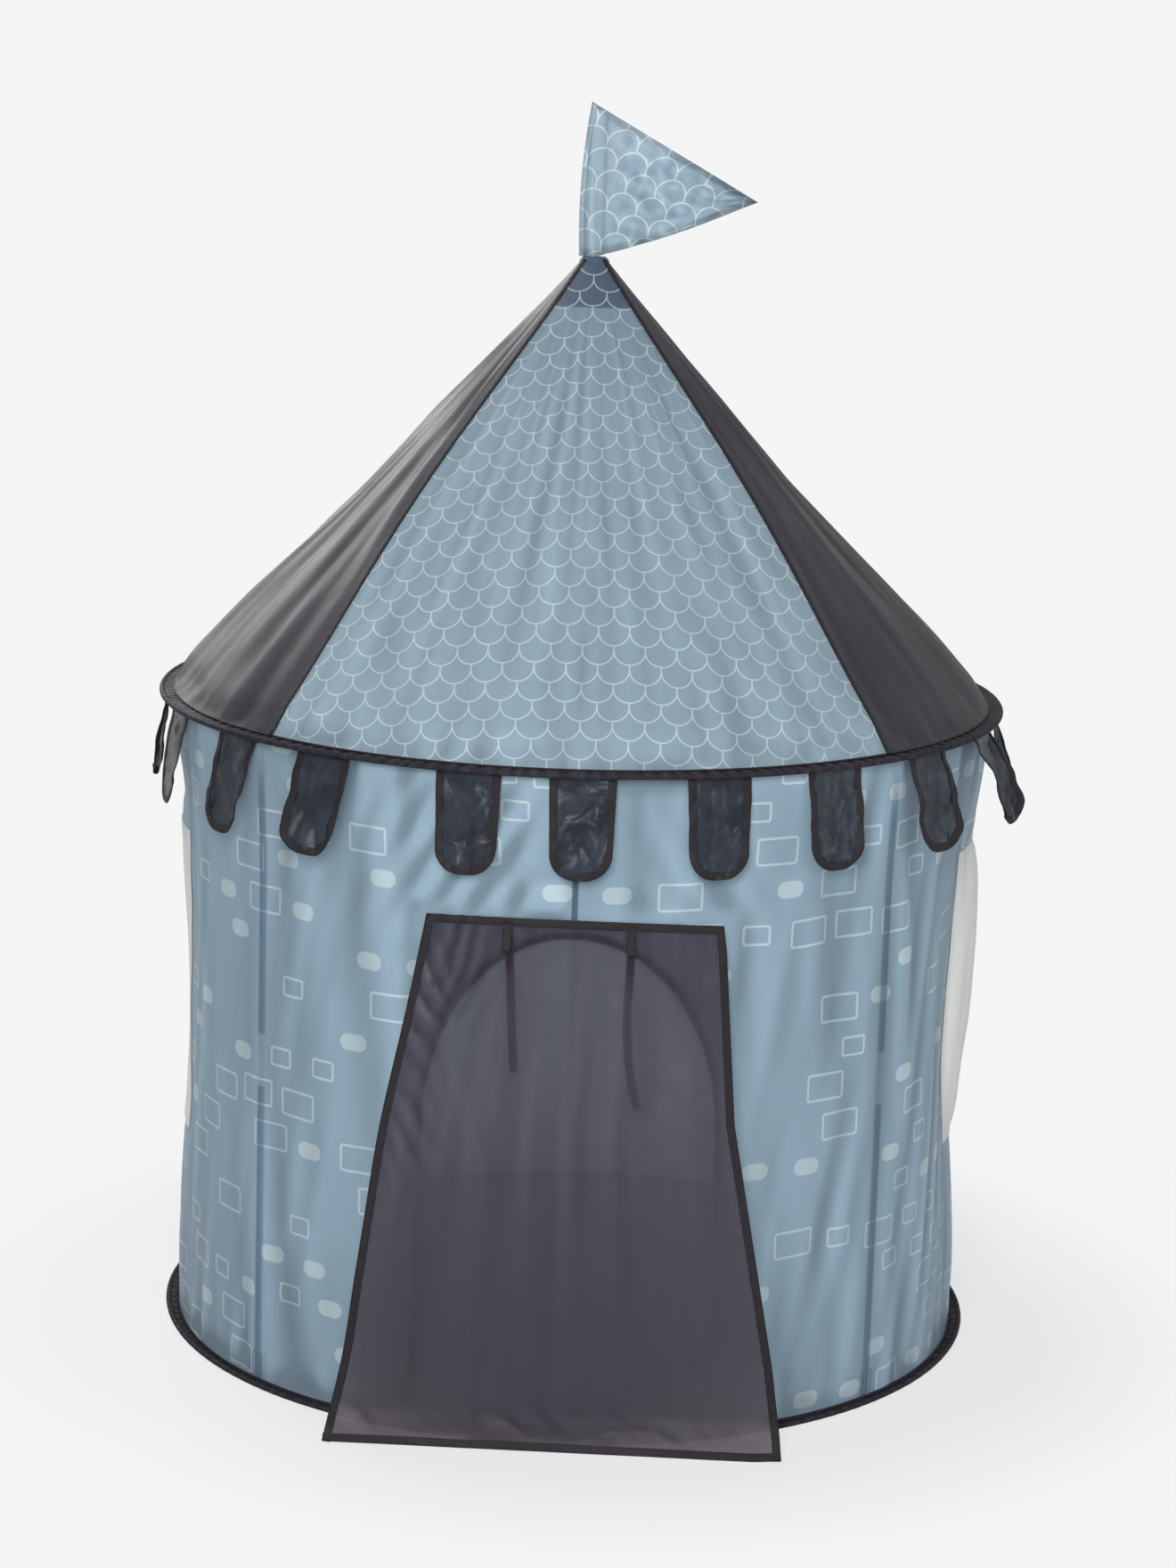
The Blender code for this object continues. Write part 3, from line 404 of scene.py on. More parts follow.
def gore_surface(middle, half_span, seed, streaks=1.0):
    """A function for one roof gore: across runs from -1 to 1 between its ridges, share from the eave up.

    The gore hollows between its ridges. Folds run up it and meet towards the apex, and short gathers
    start at the eave seam.
    """
    def place(across, share):
        radius, height = ridge(share)
        hollow = GORE_HOLLOW * smooth((share - HOLLOW_FOOT) / HOLLOW_RUN)
        radius = radius * (1 - hollow * (1 - across ** 2))
        turn = middle + across * (half_span - SEAM_STEP / radius)
        span = radius * half_span
        edge = smooth((1 - np.abs(across)) * span / 0.022) * smooth(span / 0.16)
        rise = smooth(share / 0.05) * smooth((1 - share) / 0.06)
        folds = 0.0030 * noise(across * 5.5, share * 1.6, seed) + 0.0020 * noise(across * 12, share * 2.3, seed + 1)
        folds = folds + 0.0009 * noise(across * 27, share * 6, seed + 2)
        diagonal = 0.0012 * noise(across * 8 + share * 9, share * 5 - across * 3, seed + 3)
        gathers = 0.0020 * noise(across * half_span * 26, share * 9, seed + 4) * np.exp(-share / 0.06)
        gathers = gathers + 0.0014 * noise(across * half_span * 58, share * 34, seed + 5) * np.exp(-share / 0.035)
        gathers = gathers * smooth(share / 0.012)
        lift = edge * (streaks * (folds + diagonal) * rise + gathers) * sizes().fold_depth
        slope = ridge_slope(share)
        return around(radius + lift * np.sin(slope), turn, height + lift * np.cos(slope))
    return place


def gore_flat(across, share, half_span):
    """Place in the flat cut: the gore unrolled as a cone's sector, with V rising to the apex along its middle.

    The sector is narrower than the cone's by GORE_EASE, because the cloth eases on the eave hoop.
    """
    steps = np.linspace(0, 1, 401)
    rise = travelled(packed(*ridge(steps)))
    to_tip = rise[-1] - np.interp(share, steps, rise) + APEX_RADIUS / cos(ridge_slope(0.99))
    turn = GORE_EASE * across * half_span * ridge(share)[0] / to_tip
    return to_tip * np.sin(turn) / GORE_EASE, -to_tip * np.cos(turn)


def flap_point(across, down):
    """A point of the door flap: its top follows the wall, its hem lies straight out on the floor.

    Shallow waves run down it, wrinkles slant in from its left edge, soft crumples stand above the hem, and its
    right corner curls. Its side edges are drawn in between top and hem.
    """
    across, down = np.broadcast_arrays(across, down)
    half = (across + 1) / 2
    top_x = FLAP_TOP_LEFT + (FLAP_TOP_RIGHT - FLAP_TOP_LEFT) * half
    wall = wall_radius(np.arcsin(top_x / WALL_MID_RADIUS), FLAP_TOP) + FLAP_LIFT
    top_y = -np.sqrt(wall ** 2 - top_x ** 2)
    hem_x, hem_y = (left + (right - left) * half for left, right in zip(HEM_LEFT, HEM_RIGHT))
    top = FLAP_TOP + 0.0024 * (1 - across) + 0.0052 * (1 - across ** 2)
    height = top + (HEM_HEIGHT - top) * down
    near_floor = np.clip(1 - (height - HEM_HEIGHT) / HEM_FLARE, 0, None)
    reach = 0.78 * np.clip(down, 0, None) ** 0.85 + 0.22 * near_floor ** 2
    body = np.sin(pi * np.clip(down, 0, 1)) * smooth((1 - np.abs(across)) / 0.12)
    waves = 0.0026 * noise(across * 6, down * 1.4, 21) + 0.0016 * noise(across * 13 + down, down * 2.2, 22)
    waves = waves * (1 - 0.5 * smooth((down - 0.35) / 0.3))
    wave = 0.0019 * (1 + np.cos(2 * pi * 3.5 * half)) / 2 * np.sin(pi * np.minimum(down, 0.93))
    tucks = 0.0016 * noise(across * 22, down * 6, 23) * np.exp(-down / 0.08) * smooth(down / 0.02)
    crumple = bump_at(down, 0.955, 0.026)
    crumples = crumple * (0.0034 * np.abs(noise(across * 6 - down * 12, down * 11, 24))
                          + 0.0009 * noise(across * 15 - down * 30, down * 24, 25))
    from_left, fall = 0.2 * (1 + across), FLAP_TOP * down
    ruffle = 2.4 * noise(from_left * 24, fall * 15, 27)
    corner = bump_at(from_left, 0.055, 0.042) * bump_at(fall, 0.045, 0.06)
    corner = 0.0023 * corner * np.sin(2 * pi * (from_left + 0.3 * fall) / 0.027 + ruffle)
    edge = bump_at(from_left, 0.012, 0.042) * smooth(fall / 0.07) * smooth((0.33 - fall) / 0.10)
    edge = 0.0026 * edge * (0.6 + 0.4 * noise(from_left * 18, fall * 17, 28)) \
        * np.sin(2 * pi * (0.62 * fall - 0.78 * from_left) / 0.023 + ruffle)
    out = wave + body * waves * 0.8 + tucks + crumples + (corner + edge) * smooth(from_left / 0.014)
    sag = 0.0012 * noise(across * 6, down * 2, 26) * smooth(down / 0.1) * smooth((1 - down) / 0.05)
    curl = smooth((across - 0.86) / 0.14) * smooth((down - 0.95) / 0.05)
    drawn_right = 0.0125 * np.clip(np.minimum((down - 0.05) / 0.32, (0.83 - down) / 0.46), 0, 1)
    drawn_left = 0.0055 * bump_at(down, 0.4, 0.18) - 0.0040 * bump_at(down, 0.84, 0.12)
    x = top_x + (hem_x - top_x) * down + sag * 0.4 - 0.0015 * curl - drawn_right * half - drawn_left * (1 - half)
    y = top_y + (hem_y - top_y) * reach - out * sizes().fold_depth
    return packed(x, y, height + 0.002 * curl)


def net_surface(right):
    """A function for a window net: its edge lapped on the wall, its middle bulging out like a filled sail."""
    half_turn = WINDOW_HALF_ANGLE + WINDOW_LAP / WALL_MID_RADIUS

    def place(across, up):
        turn = right * pi / 2 + across * half_turn
        height = WINDOW_FOOT - WINDOW_LAP + (WINDOW_TOP - WINDOW_FOOT + 2 * WINDOW_LAP) * up
        inside_x = np.clip(1 - (across * half_turn / WINDOW_HALF_ANGLE) ** 2, 0, None)
        open_height = (height - WINDOW_FOOT) / (WINDOW_TOP - WINDOW_FOOT)
        inside_z = np.clip(4 * open_height * (1 - open_height), 0, None)
        bulge = WINDOW_BULGES[right] * np.sqrt(inside_x) * inside_z ** 0.7
        soft = 0.0022 * noise(across * 4, up * 5, 31 + right) * inside_x * np.sqrt(inside_z)
        radius = wall_radius(turn, height) + wall_folds(turn, height) + 0.0014 + bulge + soft
        return around(radius, turn, height)
    return place


def tab_surface(number, form):
    """A function for a merlon tab: X is along its hinge and Y down its length, both in metres.

    The tab hangs from its joint's hinge, at the lean that the joint's outer limit gives. It curls outwards with
    the square of Y, cups across, and puckers towards its rounded end. What goes inwards levels off at the room
    that the folded wall leaves behind the tab at its innermost lean, and below its top the whole tab stands out
    1 mm. The form is (curl, cup, twist, tuck): tuck draws in its right edge.
    """
    curl, cup, twist, tuck = form
    joint = JOINTS[f"merlon_{number:02d}_swing"]
    hinge = np.array(joint["pos_m"])
    azimuth, lean = atan2(hinge[0], -hinge[1]), radians(MERLON_SWING - joint["range_deg"][1])
    side = np.array([cos(azimuth), sin(azimuth), 0.0])
    out = np.array([sin(azimuth), -cos(azimuth), 0.0])
    up = np.array([0.0, 0.0, 1.0])
    down = out * sin(lean) - up * cos(lean)
    front = out * cos(lean) + up * sin(lean)

    def place(x, y):
        x, y = np.broadcast_arrays(x, y)
        share = np.clip(y / MERLON_LENGTH, 0, None)
        wide = x / (MERLON_TOP_WIDTH / 2)
        bend = curl * share ** 2 + cup * wide ** 2 * smooth(share * 1.6) + twist * wide * share ** 1.5
        pucker = 0.0026 * noise(wide * 2.4 + 7, share * 4.5, 40 + number) * smooth(share * 5)
        pucker = pucker + 0.0011 * noise(wide * 5 + 3, share * 9 + wide * 2, 140 + number) * smooth(share * 5)
        fine = 0.0007 * smooth(share * 4) * smooth((0.62 - np.abs(wide)) / 0.25) * smooth((0.86 - share) / 0.12)
        pucker = pucker + fine * noise(wide * 8 + share * 9, share * 19 - wide * 6, 240 + number)
        pucker = pucker + 0.0024 * np.sin(wide * 7 + number) * share ** 4 * smooth((1 - share) / 0.12)
        arc = -x ** 2 / (2 * EAVE_RADIUS) * (1 - share)
        shift = 0.0016 * noise(share * 3, number * 0.37, 90) * smooth(share * 2)
        radius = np.hypot(hinge[0], hinge[1])
        wall = wall_radius(azimuth + x / radius, hinge[2] - y * cos(MERLON_INNER_LEAN))
        room = np.clip(radius + y * sin(MERLON_INNER_LEAN) - wall - TAB_FOLDS - TAB_CLEARANCE, 0.0004, None)
        push = bend + pucker
        push = np.where(push < 0, room * np.tanh(push / room), push) + arc + 0.0010 * smooth((share - 0.12) / 0.16)
        x = x * (1 - tuck * smooth(wide) * share ** 2.5)
        point = hinge + (x + shift)[..., None] * side + (y - 0.15 * np.abs(bend))[..., None] * down
        return point + push[..., None] * front
    return place


def tab_half_width(y):
    """Half the tab's width at a distance down it: nearly straight, then a round end."""
    top, end = MERLON_TOP_WIDTH / 2, MERLON_END_WIDTH / 2
    straight = top + (end - top) * y / (MERLON_LENGTH - MERLON_CORNER)
    low = np.clip((y - MERLON_LENGTH + MERLON_CORNER) / MERLON_CORNER, 0, 1)
    return np.where(low > 0, np.minimum(straight, end), straight) - MERLON_CORNER * (1 - np.sqrt(1 - low ** 2))


def flag_surface(loop, rise):
    """A point of the flag: the loop runs from the tip along the front, round the rod and back; rise goes up.

    The two layers part round the rod and lie together in the fly, which waves more towards its tip.
    """
    loop, rise = np.broadcast_arrays(loop, rise)
    reach = np.abs(loop) ** 1.25
    hoist = FLAG_HOIST + 0.0105 * rise ** 2.2 - 0.002 * np.sin(pi * rise)
    x = hoist + (FLAG_TIP - hoist) * reach
    past = np.clip((x - hoist) / (FLAG_TIP - hoist), 0, 1)
    rising = np.clip((past - 0.09) / 0.91, 0, 1)
    foot = FLAG_FOOT - 0.0003 + (FLAG_TIP_HEIGHT - FLAG_FOOT + 0.0003) * rising ** 1.1 - 0.002 * np.sin(pi * rising)
    head = FLAG_HEAD + FLAG_PEAK + (FLAG_TIP_HEIGHT - FLAG_HEAD - FLAG_PEAK) * past
    height = foot + (head - foot) * rise
    round_rod = 0.0052 * np.sqrt(np.clip(1 - (x / (FLAG_SLEEVE + 0.0005)) ** 2, 0, 1))
    closing = np.where(x > FLAG_SLEEVE, np.sqrt(np.clip(4 * rise * (1 - rise), 0, 1)),
                       np.sqrt(np.clip((1 - rise) * 30, 0, 1)))
    fly = 0.0004 + 0.0012 * np.sin(pi * past)
    apart = np.maximum(round_rod, fly) * closing * smooth(past / 0.02)
    wave = past ** 0.8 * (0.0085 * np.sin(2.6 * pi * past + 2.2 * rise) + 0.0035 * noise(past * 6, rise * 5, 51))
    pleats = 0.0022 * np.sin(past * 60 + rise * 5) * np.exp(-past / 0.18) * smooth(past / 0.02) * (1 - rise)
    pleats = pleats + 0.0020 * noise(past * 17 + rise * 5, rise * 9 - past * 8, 52) * smooth((x - 0.012) / 0.02)
    return packed(x, wave + pleats + np.sign(loop) * apart, height)


# Meshes

def grid_faces(rows, columns, wrap_rows=False, wrap_columns=False):
    """Quads between the corners of a grid, as corner numbers, joined round where a direction wraps."""
    index = np.arange(rows * columns).reshape(rows, columns)
    index = np.pad(index, ((0, int(wrap_rows)), (0, int(wrap_columns))), mode="wrap")
    return packed(index[:-1, :-1], index[:-1, 1:], index[1:, 1:], index[1:, :-1]).reshape(-1, 4)


def facing(points, faces, centre):
    """The faces, all turned over if most of them point towards the centre."""
    first, second, last = (points[faces[:, corner]] for corner in (0, 1, -1))
    normals = np.cross(second - first, last - first)
    outwards = ((first - np.array(centre)) * normals).sum()
    return faces if outwards > 0 else faces[:, ::-1]


def closed_out(points, faces):
    """The faces of a closed shape, all turned over if their enclosed volume comes out negative."""
    volume = 0.0
    for part in faces:
        fan = points[part]
        for corner in range(1, part.shape[1] - 1):
            volume += (fan[:, 0] * np.cross(fan[:, corner], fan[:, corner + 1])).sum()
    return faces if volume > 0 else [part[:, ::-1] for part in faces]


def crests(points, outwards, reach=3):
    """How far each corner of a grid stands out of the grid averaged over a few cells: 1 on crests, -1 in hollows."""
    count, (rows, columns) = 2 * reach + 1, points.shape[:2]
    wide = np.pad(points, ((reach, reach), (reach, reach), (0, 0)), mode="reflect", reflect_type="odd")
    mean = sum(wide[i:i + rows, j:j + columns] for i in range(count) for j in range(count)) / count ** 2
    normal = unit(np.cross(np.gradient(points, axis=1), np.gradient(points, axis=0)))
    normal = normal * np.sign((normal * outwards).sum(axis=-1, keepdims=True))
    return np.clip(((points - mean) * normal).sum(axis=-1) / CREST_HEIGHT, -1, 1)


def new_piece(name, points, faces, uv, material, crest=None):
    """A smooth mesh object at the origin, from corner places, a list of face arrays and a UV place per corner."""
    mesh = bpy.data.meshes.new(name)
    mesh.from_pydata(points.reshape(-1, 3).tolist(), [], [face for part in faces for face in part.tolist()])
    if uv is not None:
        corners = np.empty(len(mesh.loops), np.int32)
        mesh.loops.foreach_get("vertex_index", corners)
        layer = mesh.uv_layers.new(name="Cloth")
        layer.data.foreach_set("uv", uv.reshape(-1, 2)[corners].astype(np.float32).ravel())
    # Each corner's value for the painted shade of the folds, which the cloth's material reads
    if crest is not None:
        mesh.attributes.new("crest", "FLOAT", "POINT").data.foreach_set("value", crest.astype(np.float32).ravel())
    mesh.polygons.foreach_set("use_smooth", np.ones(len(mesh.polygons), bool))
    mesh.materials.append(material)
    mesh.update()
    piece = bpy.data.objects.new(name, mesh)
    bpy.context.scene.collection.objects.link(piece)
    return piece


def dress(piece, *nodes, body="tent", slot="charcoal_binding"):
    """Lets a piece ride on a body and stand for its nodes, whose solids it hides. Its slot is not used."""
    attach(piece, body)
    if nodes:
        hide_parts(*nodes)
    return piece


def sheet_mesh(name, surface, columns, rows, flat, material, centre=BODY_CENTRE, reach=3):
    """A grid of a surface, at the given column and row values. Flat works out each corner's place on the cut, and each
    corner also gets a value for the painted shade of the folds.
    """
    a, b = np.meshgrid(columns, rows)
    grid = surface(a, b)
    points = grid.reshape(-1, 3)
    faces = facing(points, grid_faces(*a.shape), centre)
    uv = packed(*flat(a, b))
    return new_piece(name, points, [faces], uv, material, crests(grid, grid - np.array(centre), reach))


def outline_at(outline, cells, inside):
    """Corners near an outline moved onto it, and for each corner whether it is on (0), outside or inside (1, -1)."""
    middle = outline.mean(axis=0)
    reach = np.abs(outline - middle).max(axis=0) + WALL_CELL
    state = np.where(inside(cells), -1, 1)
    near = np.flatnonzero((np.abs(cells - middle) < reach).all(axis=1))
    gaps = np.linalg.norm(cells[near, None] - outline[None], axis=2)
    nearest = gaps.argmin(axis=1)
    on = gaps[np.arange(len(near)), nearest] < SNAP_SHARE * WALL_CELL
    cells[near[on]] = outline[nearest[on]]
    state[near[on]] = 0
    return state


def cut_faces(faces, state, cells, inside):
    """Faces outside an outline: whole quads, and the outer half of each quad that it crosses corner to corner."""
    corner = state[faces]
    holds_in, holds_out = (corner < 0).any(axis=1), (corner > 0).any(axis=1)
    keep = ~holds_in & ~((corner == 0).all(axis=1) & inside(cells[faces].mean(axis=1)))
    crossed = holds_in & holds_out
    halves = []
    for start in range(4):
        a, b, c, d = np.roll(np.arange(4), -start)
        split = crossed & (corner[:, a] == 0) & (corner[:, c] == 0) & (corner[:, b] > 0) & (corner[:, d] < 0)
        halves.append(faces[split][:, [a, b, c]])
    return faces[keep], np.concatenate(halves)


def dense(corners, step=0.0008):
    """A closed outline with a point about every step along its straight runs."""
    runs = []
    for start, end in zip(corners, np.roll(corners, -1, axis=0)):
        count = max(int(np.linalg.norm(end - start) / step), 1)
        runs.append(start + (end - start) * (np.arange(count) / count)[:, None])
    return np.concatenate(runs)


def doorway_outline():
    """The doorway as (distance along the wall, height): upright sides under half an ellipse."""
    step = radians(2.5)
    turns = np.arange(0, pi + step / 2, step)
    x = np.concatenate([[-DOOR_HALF_WIDTH, DOOR_HALF_WIDTH], DOOR_HALF_WIDTH * np.cos(turns)])
    z = np.concatenate([[DOOR_SILL, DOOR_SILL], DOOR_SPRING + (DOOR_TOP - DOOR_SPRING) * np.sin(turns)])
    return packed(WALL_MID_RADIUS * np.arcsin(x / WALL_MID_RADIUS), z)


def in_doorway(cells):
    """True inside the doorway, which the wall's other side doesn't have."""
    x = WALL_MID_RADIUS * np.sin(cells[:, 0] / WALL_MID_RADIUS)
    over = np.clip((cells[:, 1] - DOOR_SPRING) / (DOOR_TOP - DOOR_SPRING), 0, 1)
    return (np.abs(x) < DOOR_HALF_WIDTH * np.sqrt(1 - over ** 2)) & (cells[:, 1] > DOOR_SILL) \
        & (cells[:, 1] < DOOR_TOP) & (np.abs(cells[:, 0]) < 1)


def window_box(right):
    """A window's middle and half its size, as (distance along the wall, height)."""
    return (np.array([right * pi / 2 * WALL_MID_RADIUS, (WINDOW_FOOT + WINDOW_TOP) / 2]),
            np.array([WALL_MID_RADIUS * WINDOW_HALF_ANGLE, (WINDOW_TOP - WINDOW_FOOT) / 2]))


def window_outline(right):
    """A window as (distance along the wall, height): a rectangle with round corners."""
    middle, half = window_box(right)
    step = radians(6)
    turns = np.arange(0, pi / 2 + step / 2, step)
    outline = []
    for quarter, signs in enumerate(((1, 1), (-1, 1), (-1, -1), (1, -1))):
        turn = turns + quarter * pi / 2
        centre = middle + np.array(signs) * (half - WINDOW_CORNER)
        outline.append(centre + WINDOW_CORNER * packed(np.cos(turn), np.sin(turn)))
    return np.concatenate(outline)


def in_window(right):
    """A test for being inside a window."""
    middle, half = window_box(right)

    def inside(cells):
        past = np.abs(cells - middle) - half + WINDOW_CORNER
        return np.linalg.norm(np.clip(past, 0, None), axis=1) < WINDOW_CORNER
    return inside


def surface_frame(surface, a, b, centre):
    """Points of a surface and its unit normals, which point away from the centre."""
    step = 1e-4
    point = surface(a, b)
    normal = unit(np.cross(surface(a + step, b) - surface(a - step, b), surface(a, b + step) - surface(a, b - step)))
    return point, normal if ((point - np.array(centre)) * normal).sum() > 0 else -normal


def full_turn(count):
    """Angles spaced evenly round a circle."""
    return 2 * pi * np.arange(count) / count


def flat_section(width, thickness, points=12):
    """The section of a tape, as a squared-off ellipse: (across, up) for each corner."""
    turn = 2 * pi * (np.arange(points) + 0.5) / points
    flat = packed(np.cos(turn), np.sin(turn))
    return np.sign(flat) * np.abs(flat) ** 0.45 * np.array([width, thickness]) / 2


def carry(path, across, up, section, closed=False, flat=None):
    """A section carried along a path: points, closed faces and UV places (length along, distance across).

    The section is the same all along, or one for each point of the path. Flat is the distance across, where it
    isn't the section's own.
    """
    points = path[:, None] + section[..., :1] * across[:, None] + section[..., 1:] * up[:, None]
    rows, columns = points.shape[:2]
    faces = [grid_faces(rows, columns, closed, True)]
    if not closed:
        ends = np.arange(columns)
        faces.append(np.stack([ends[::-1], ends + (rows - 1) * columns]))
    points = points.reshape(-1, 3)
    flat = section[:, 0] if flat is None else flat
    uv = packed(travelled(path)[:, None], flat)
    return points, closed_out(points, faces), uv.reshape(-1, 2)


def tape(name, surface, routes, size, material, lift=0.0, shift=0.0, closed=False, centre=BODY_CENTRE):
    """Tape of a width and thickness, sewn along routes over a surface.

    The lift raises the tape off the surface, and the shift moves it to the left of its route.
    """
    points, faces, uv, count = [], [], [], 0
    for steps in routes:
        path, up = surface_frame(surface, *steps.T, centre)
        along = np.roll(path, -1, axis=0) - np.roll(path, 1, axis=0) if closed else np.gradient(path, axis=0)
        across = unit(np.cross(up, unit(along)))
        places, loops, flat = carry(path, across, up, flat_section(*size) + np.array([shift, lift]), closed)
        points.append(places)
        faces += [loop + count for loop in loops]
        uv.append(flat)
        count += len(places)
    return new_piece(name, np.concatenate(points), faces, np.concatenate(uv), cloth(material))


def binding(name, surface, routes, lift=0.0):
    """Folded binding tape round an edge, most of it inside the edge."""
    width = sizes().tape_width
    return tape(name, surface, routes, (width, sizes().tape_thickness), "binding_tape", lift, width * BINDING_INSET)


def tube(name, path, radius, material, squash, ripple, seed):
    """A round or flattened sleeve along a path, with soft ripples, closed at its ends."""
    along = unit(np.gradient(path, axis=0))
    across = unit(np.cross(along, unit(path * np.array([1, 1, 0]))))
    turn = full_turn(14)
    steps = np.arange(len(path))[:, None]
    grow = radius * (1 + ripple * noise(steps * 0.35, np.arange(14)[None] * 0.8, 60 + seed))
    section = grow[..., None] * packed(np.cos(turn), squash * np.sin(turn))
    ring = carry(path, across, np.cross(across, along), section, flat=radius * turn)
    return new_piece(name, *ring, cloth(material))


# Shader trees

class Wire:
    """A shader socket that is reckoned with as a number is. Each step adds a Math node."""

    def __init__(self, tree, socket):
        self.tree, self.socket = tree, socket

    def __add__(self, other):
        return self.tree.math("ADD", self, other)

    def __sub__(self, other):
        return self.tree.math("SUBTRACT", self, other)

    def __rsub__(self, other):
        return self.tree.math("SUBTRACT", other, self)

    def __mul__(self, other):
        return self.tree.math("MULTIPLY", self, other)

    def __truediv__(self, other):
        return self.tree.math("DIVIDE", self, other)

    def __rtruediv__(self, other):
        return self.tree.math("DIVIDE", other, self)

    def __pow__(self, other):
        return self.tree.math("POWER", self, other)

    def __abs__(self):
        return self.tree.math("ABSOLUTE", self)


class Tree:
    """Short calls for adding linked nodes to a shader tree."""

    def __init__(self, tree):
        self.nodes, self.links = tree.nodes, tree.links

    def put(self, socket, value):
        """Links a wire to a socket, or sets the socket's value."""
        if isinstance(value, Wire):
            self.links.new(value.socket, socket)
        else:
            socket.default_value = value

    def wires(self, sockets):
        """Sockets as wires, by number and by name."""
        return {key: Wire(self, socket) for number, socket in enumerate(sockets) for key in (number, socket.name)}

    def add(self, kind, inputs=None, **settings):
        """A new node's outputs, by number and by name. Its inputs are linked or set."""
        node = self.nodes.new(f"ShaderNode{kind}")
        for name, value in settings.items():
            setattr(node, name, value)
        for key, value in (inputs or {}).items():
            self.put(node.inputs[key], value)
        return self.wires(node.outputs)

    def use(self, group, **inputs):
        """A node group's outputs."""
        return self.add("Group", inputs, node_tree=group())

    def math(self, operation, *values):
        return self.add("Math", dict(enumerate(values)), operation=operation)[0]

    def most(self, first, *others):
        """The greatest of the values."""
        for other in others:
            first = self.math("MAXIMUM", first, other)
        return first

    def split(self, vector):
        """The three parts of a vector."""
        parts = self.add("SeparateXYZ", {"Vector": vector})
        return parts[0], parts[1], parts[2]

    def ramp(self, value, low, high, start=0.0, end=1.0):
        """The value's smooth step from low to high, as start to end."""
        ends = {"Value": value, "From Min": low, "From Max": high, "To Min": start, "To Max": end}
        return self.add("MapRange", ends, interpolation_type="SMOOTHSTEP")[0]

    def noise(self, place, scale, detail):
        return self.add("TexNoise", {"Vector": place, "Scale": scale, "Detail": detail})[0]

    def bump(self, height, strength, distance, **inputs):
        """A normal bent by a height."""
        return self.add("Bump", {"Height": height, "Strength": strength, "Distance": distance, **inputs})[0]

    def mix(self, factor, first, second):
        """Two colours mixed."""
        return self.add("Mix", {0: factor, 6: first, 7: second}, data_type="RGBA")[2]

    def blend(self, share, first, second):
        """Two shaders mixed."""
        return self.add("MixShader", {0: share, 1: first, 2: second})[0]


def effect(outputs, **inputs):
    """Turns a function that fills a shader node group into one that returns the group, which is built once.

    The inputs are the group's, with their values. None stands for a vector. The function returns what feeds
    each output.
    """
    def wrap(build):
        def group():
            made = bpy.data.node_groups.get(build.__name__)
            if made:
                return made
            made = bpy.data.node_groups.new(build.__name__, "ShaderNodeTree")
            for name, value in inputs.items():
                kind = "NodeSocketVector" if value is None else "NodeSocketFloat"
                socket = made.interface.new_socket(name, in_out="INPUT", socket_type=kind)
                if value is not None:
                    socket.default_value = value
            for name in outputs:
                made.interface.new_socket(name, in_out="OUTPUT", socket_type="NodeSocketFloat")
            tree = Tree(made)
            given = tree.wires(made.nodes.new("NodeGroupInput").outputs)
            for socket, value in zip(made.nodes.new("NodeGroupOutput").inputs, build(tree, given)):
                tree.put(socket, value)
            return made
        return group
    return wrap


@effect(["Line"], Vector=None, Width=0.0355, Pitch=0.0254, Line=0.002)
def fish_scales(tree, given):
    """Rows of scales, each half a width along from the last: half circles with upright sides up to the next row."""
    x, y, _ = tree.split(given["Vector"])
    radius, pitch, edge = given["Width"] * 0.5, given["Pitch"], given["Line"] * 0.5
    row = tree.math("FLOOR", y / pitch)
    x = tree.math("WRAP", x + tree.math("FLOORED_MODULO", row, 2.0) * radius, radius, radius * -1.0)
    below = tree.math("MINIMUM", y - row * pitch - edge - radius, 0.0)
    away = tree.math("SQRT", x ** 2.0 + below ** 2.0)
    return [tree.ramp(abs(away - radius), edge * 1.25, edge * 0.75)]


@effect(["Outline", "Fill"], Vector=None, Seed=3.0, Line=0.003)
def stone_blocks(tree, given):
    """Scattered building blocks: staggered cells, some of which hold an outlined or a filled round-cornered block."""
    wide, tall = BLOCK_CELL
    x, y, _ = tree.split(given["Vector"])
    row = tree.math("FLOOR", y / tall)
    along = x / wide + row * BLOCK_STAGGER
    column = tree.math("FLOOR", along)
    cell = tree.add("CombineXYZ", {"X": column, "Y": row, "Z": given["Seed"]})[0]
    drawn = tree.add("TexWhiteNoise", {"Vector": cell}, noise_dimensions="3D")
    offsets = tree.add("SeparateColor", {"Color": drawn["Color"]})
    big, outlined, held = (tree.math("LESS_THAN", drawn["Value"], share) for share in BLOCK_SHARES)
    small, filled = outlined - big, held - outlined
    half_x = big * 0.0262 + small * 0.0165 + filled * 0.0170
    half_y = big * 0.0165 + small * 0.0120 + filled * 0.0098
    corner = filled * 0.0057 + 0.004
    x = (along - column - 0.5) * wide + (offsets[0] - 0.5) * 0.012
    y = y - row * tall - tall / 2 + (offsets[1] - 0.5) * 0.011
    y = y + x * ((offsets[2] - 0.5) * 0.05)
    past_x, past_y = abs(x) - half_x + corner, abs(y) - half_y + corner
    away = tree.math("SQRT", tree.most(past_x, 0.0) ** 2.0 + tree.most(past_y, 0.0) ** 2.0)
    gap = away + tree.math("MINIMUM", tree.most(past_x, past_y), 0.0) - corner
    half_line = given["Line"] * 0.5
    ring = tree.ramp(abs(gap + half_line), half_line * 1.2, half_line * 0.7)
    return [ring * outlined, tree.ramp(gap, 0.0003, -0.0003) * filled]


@effect(["Height"], Vector=None, Thread=0.0007)
def taffeta(tree, given):
    """Height of a fine plain weave: the sines of two crossed sets of threads, added up."""
    x, y, _ = tree.split(given["Vector"])
    rate = 2 * pi / given["Thread"]
    return [(tree.math("SINE", x * rate) + tree.math("SINE", y * rate)) * 0.25]


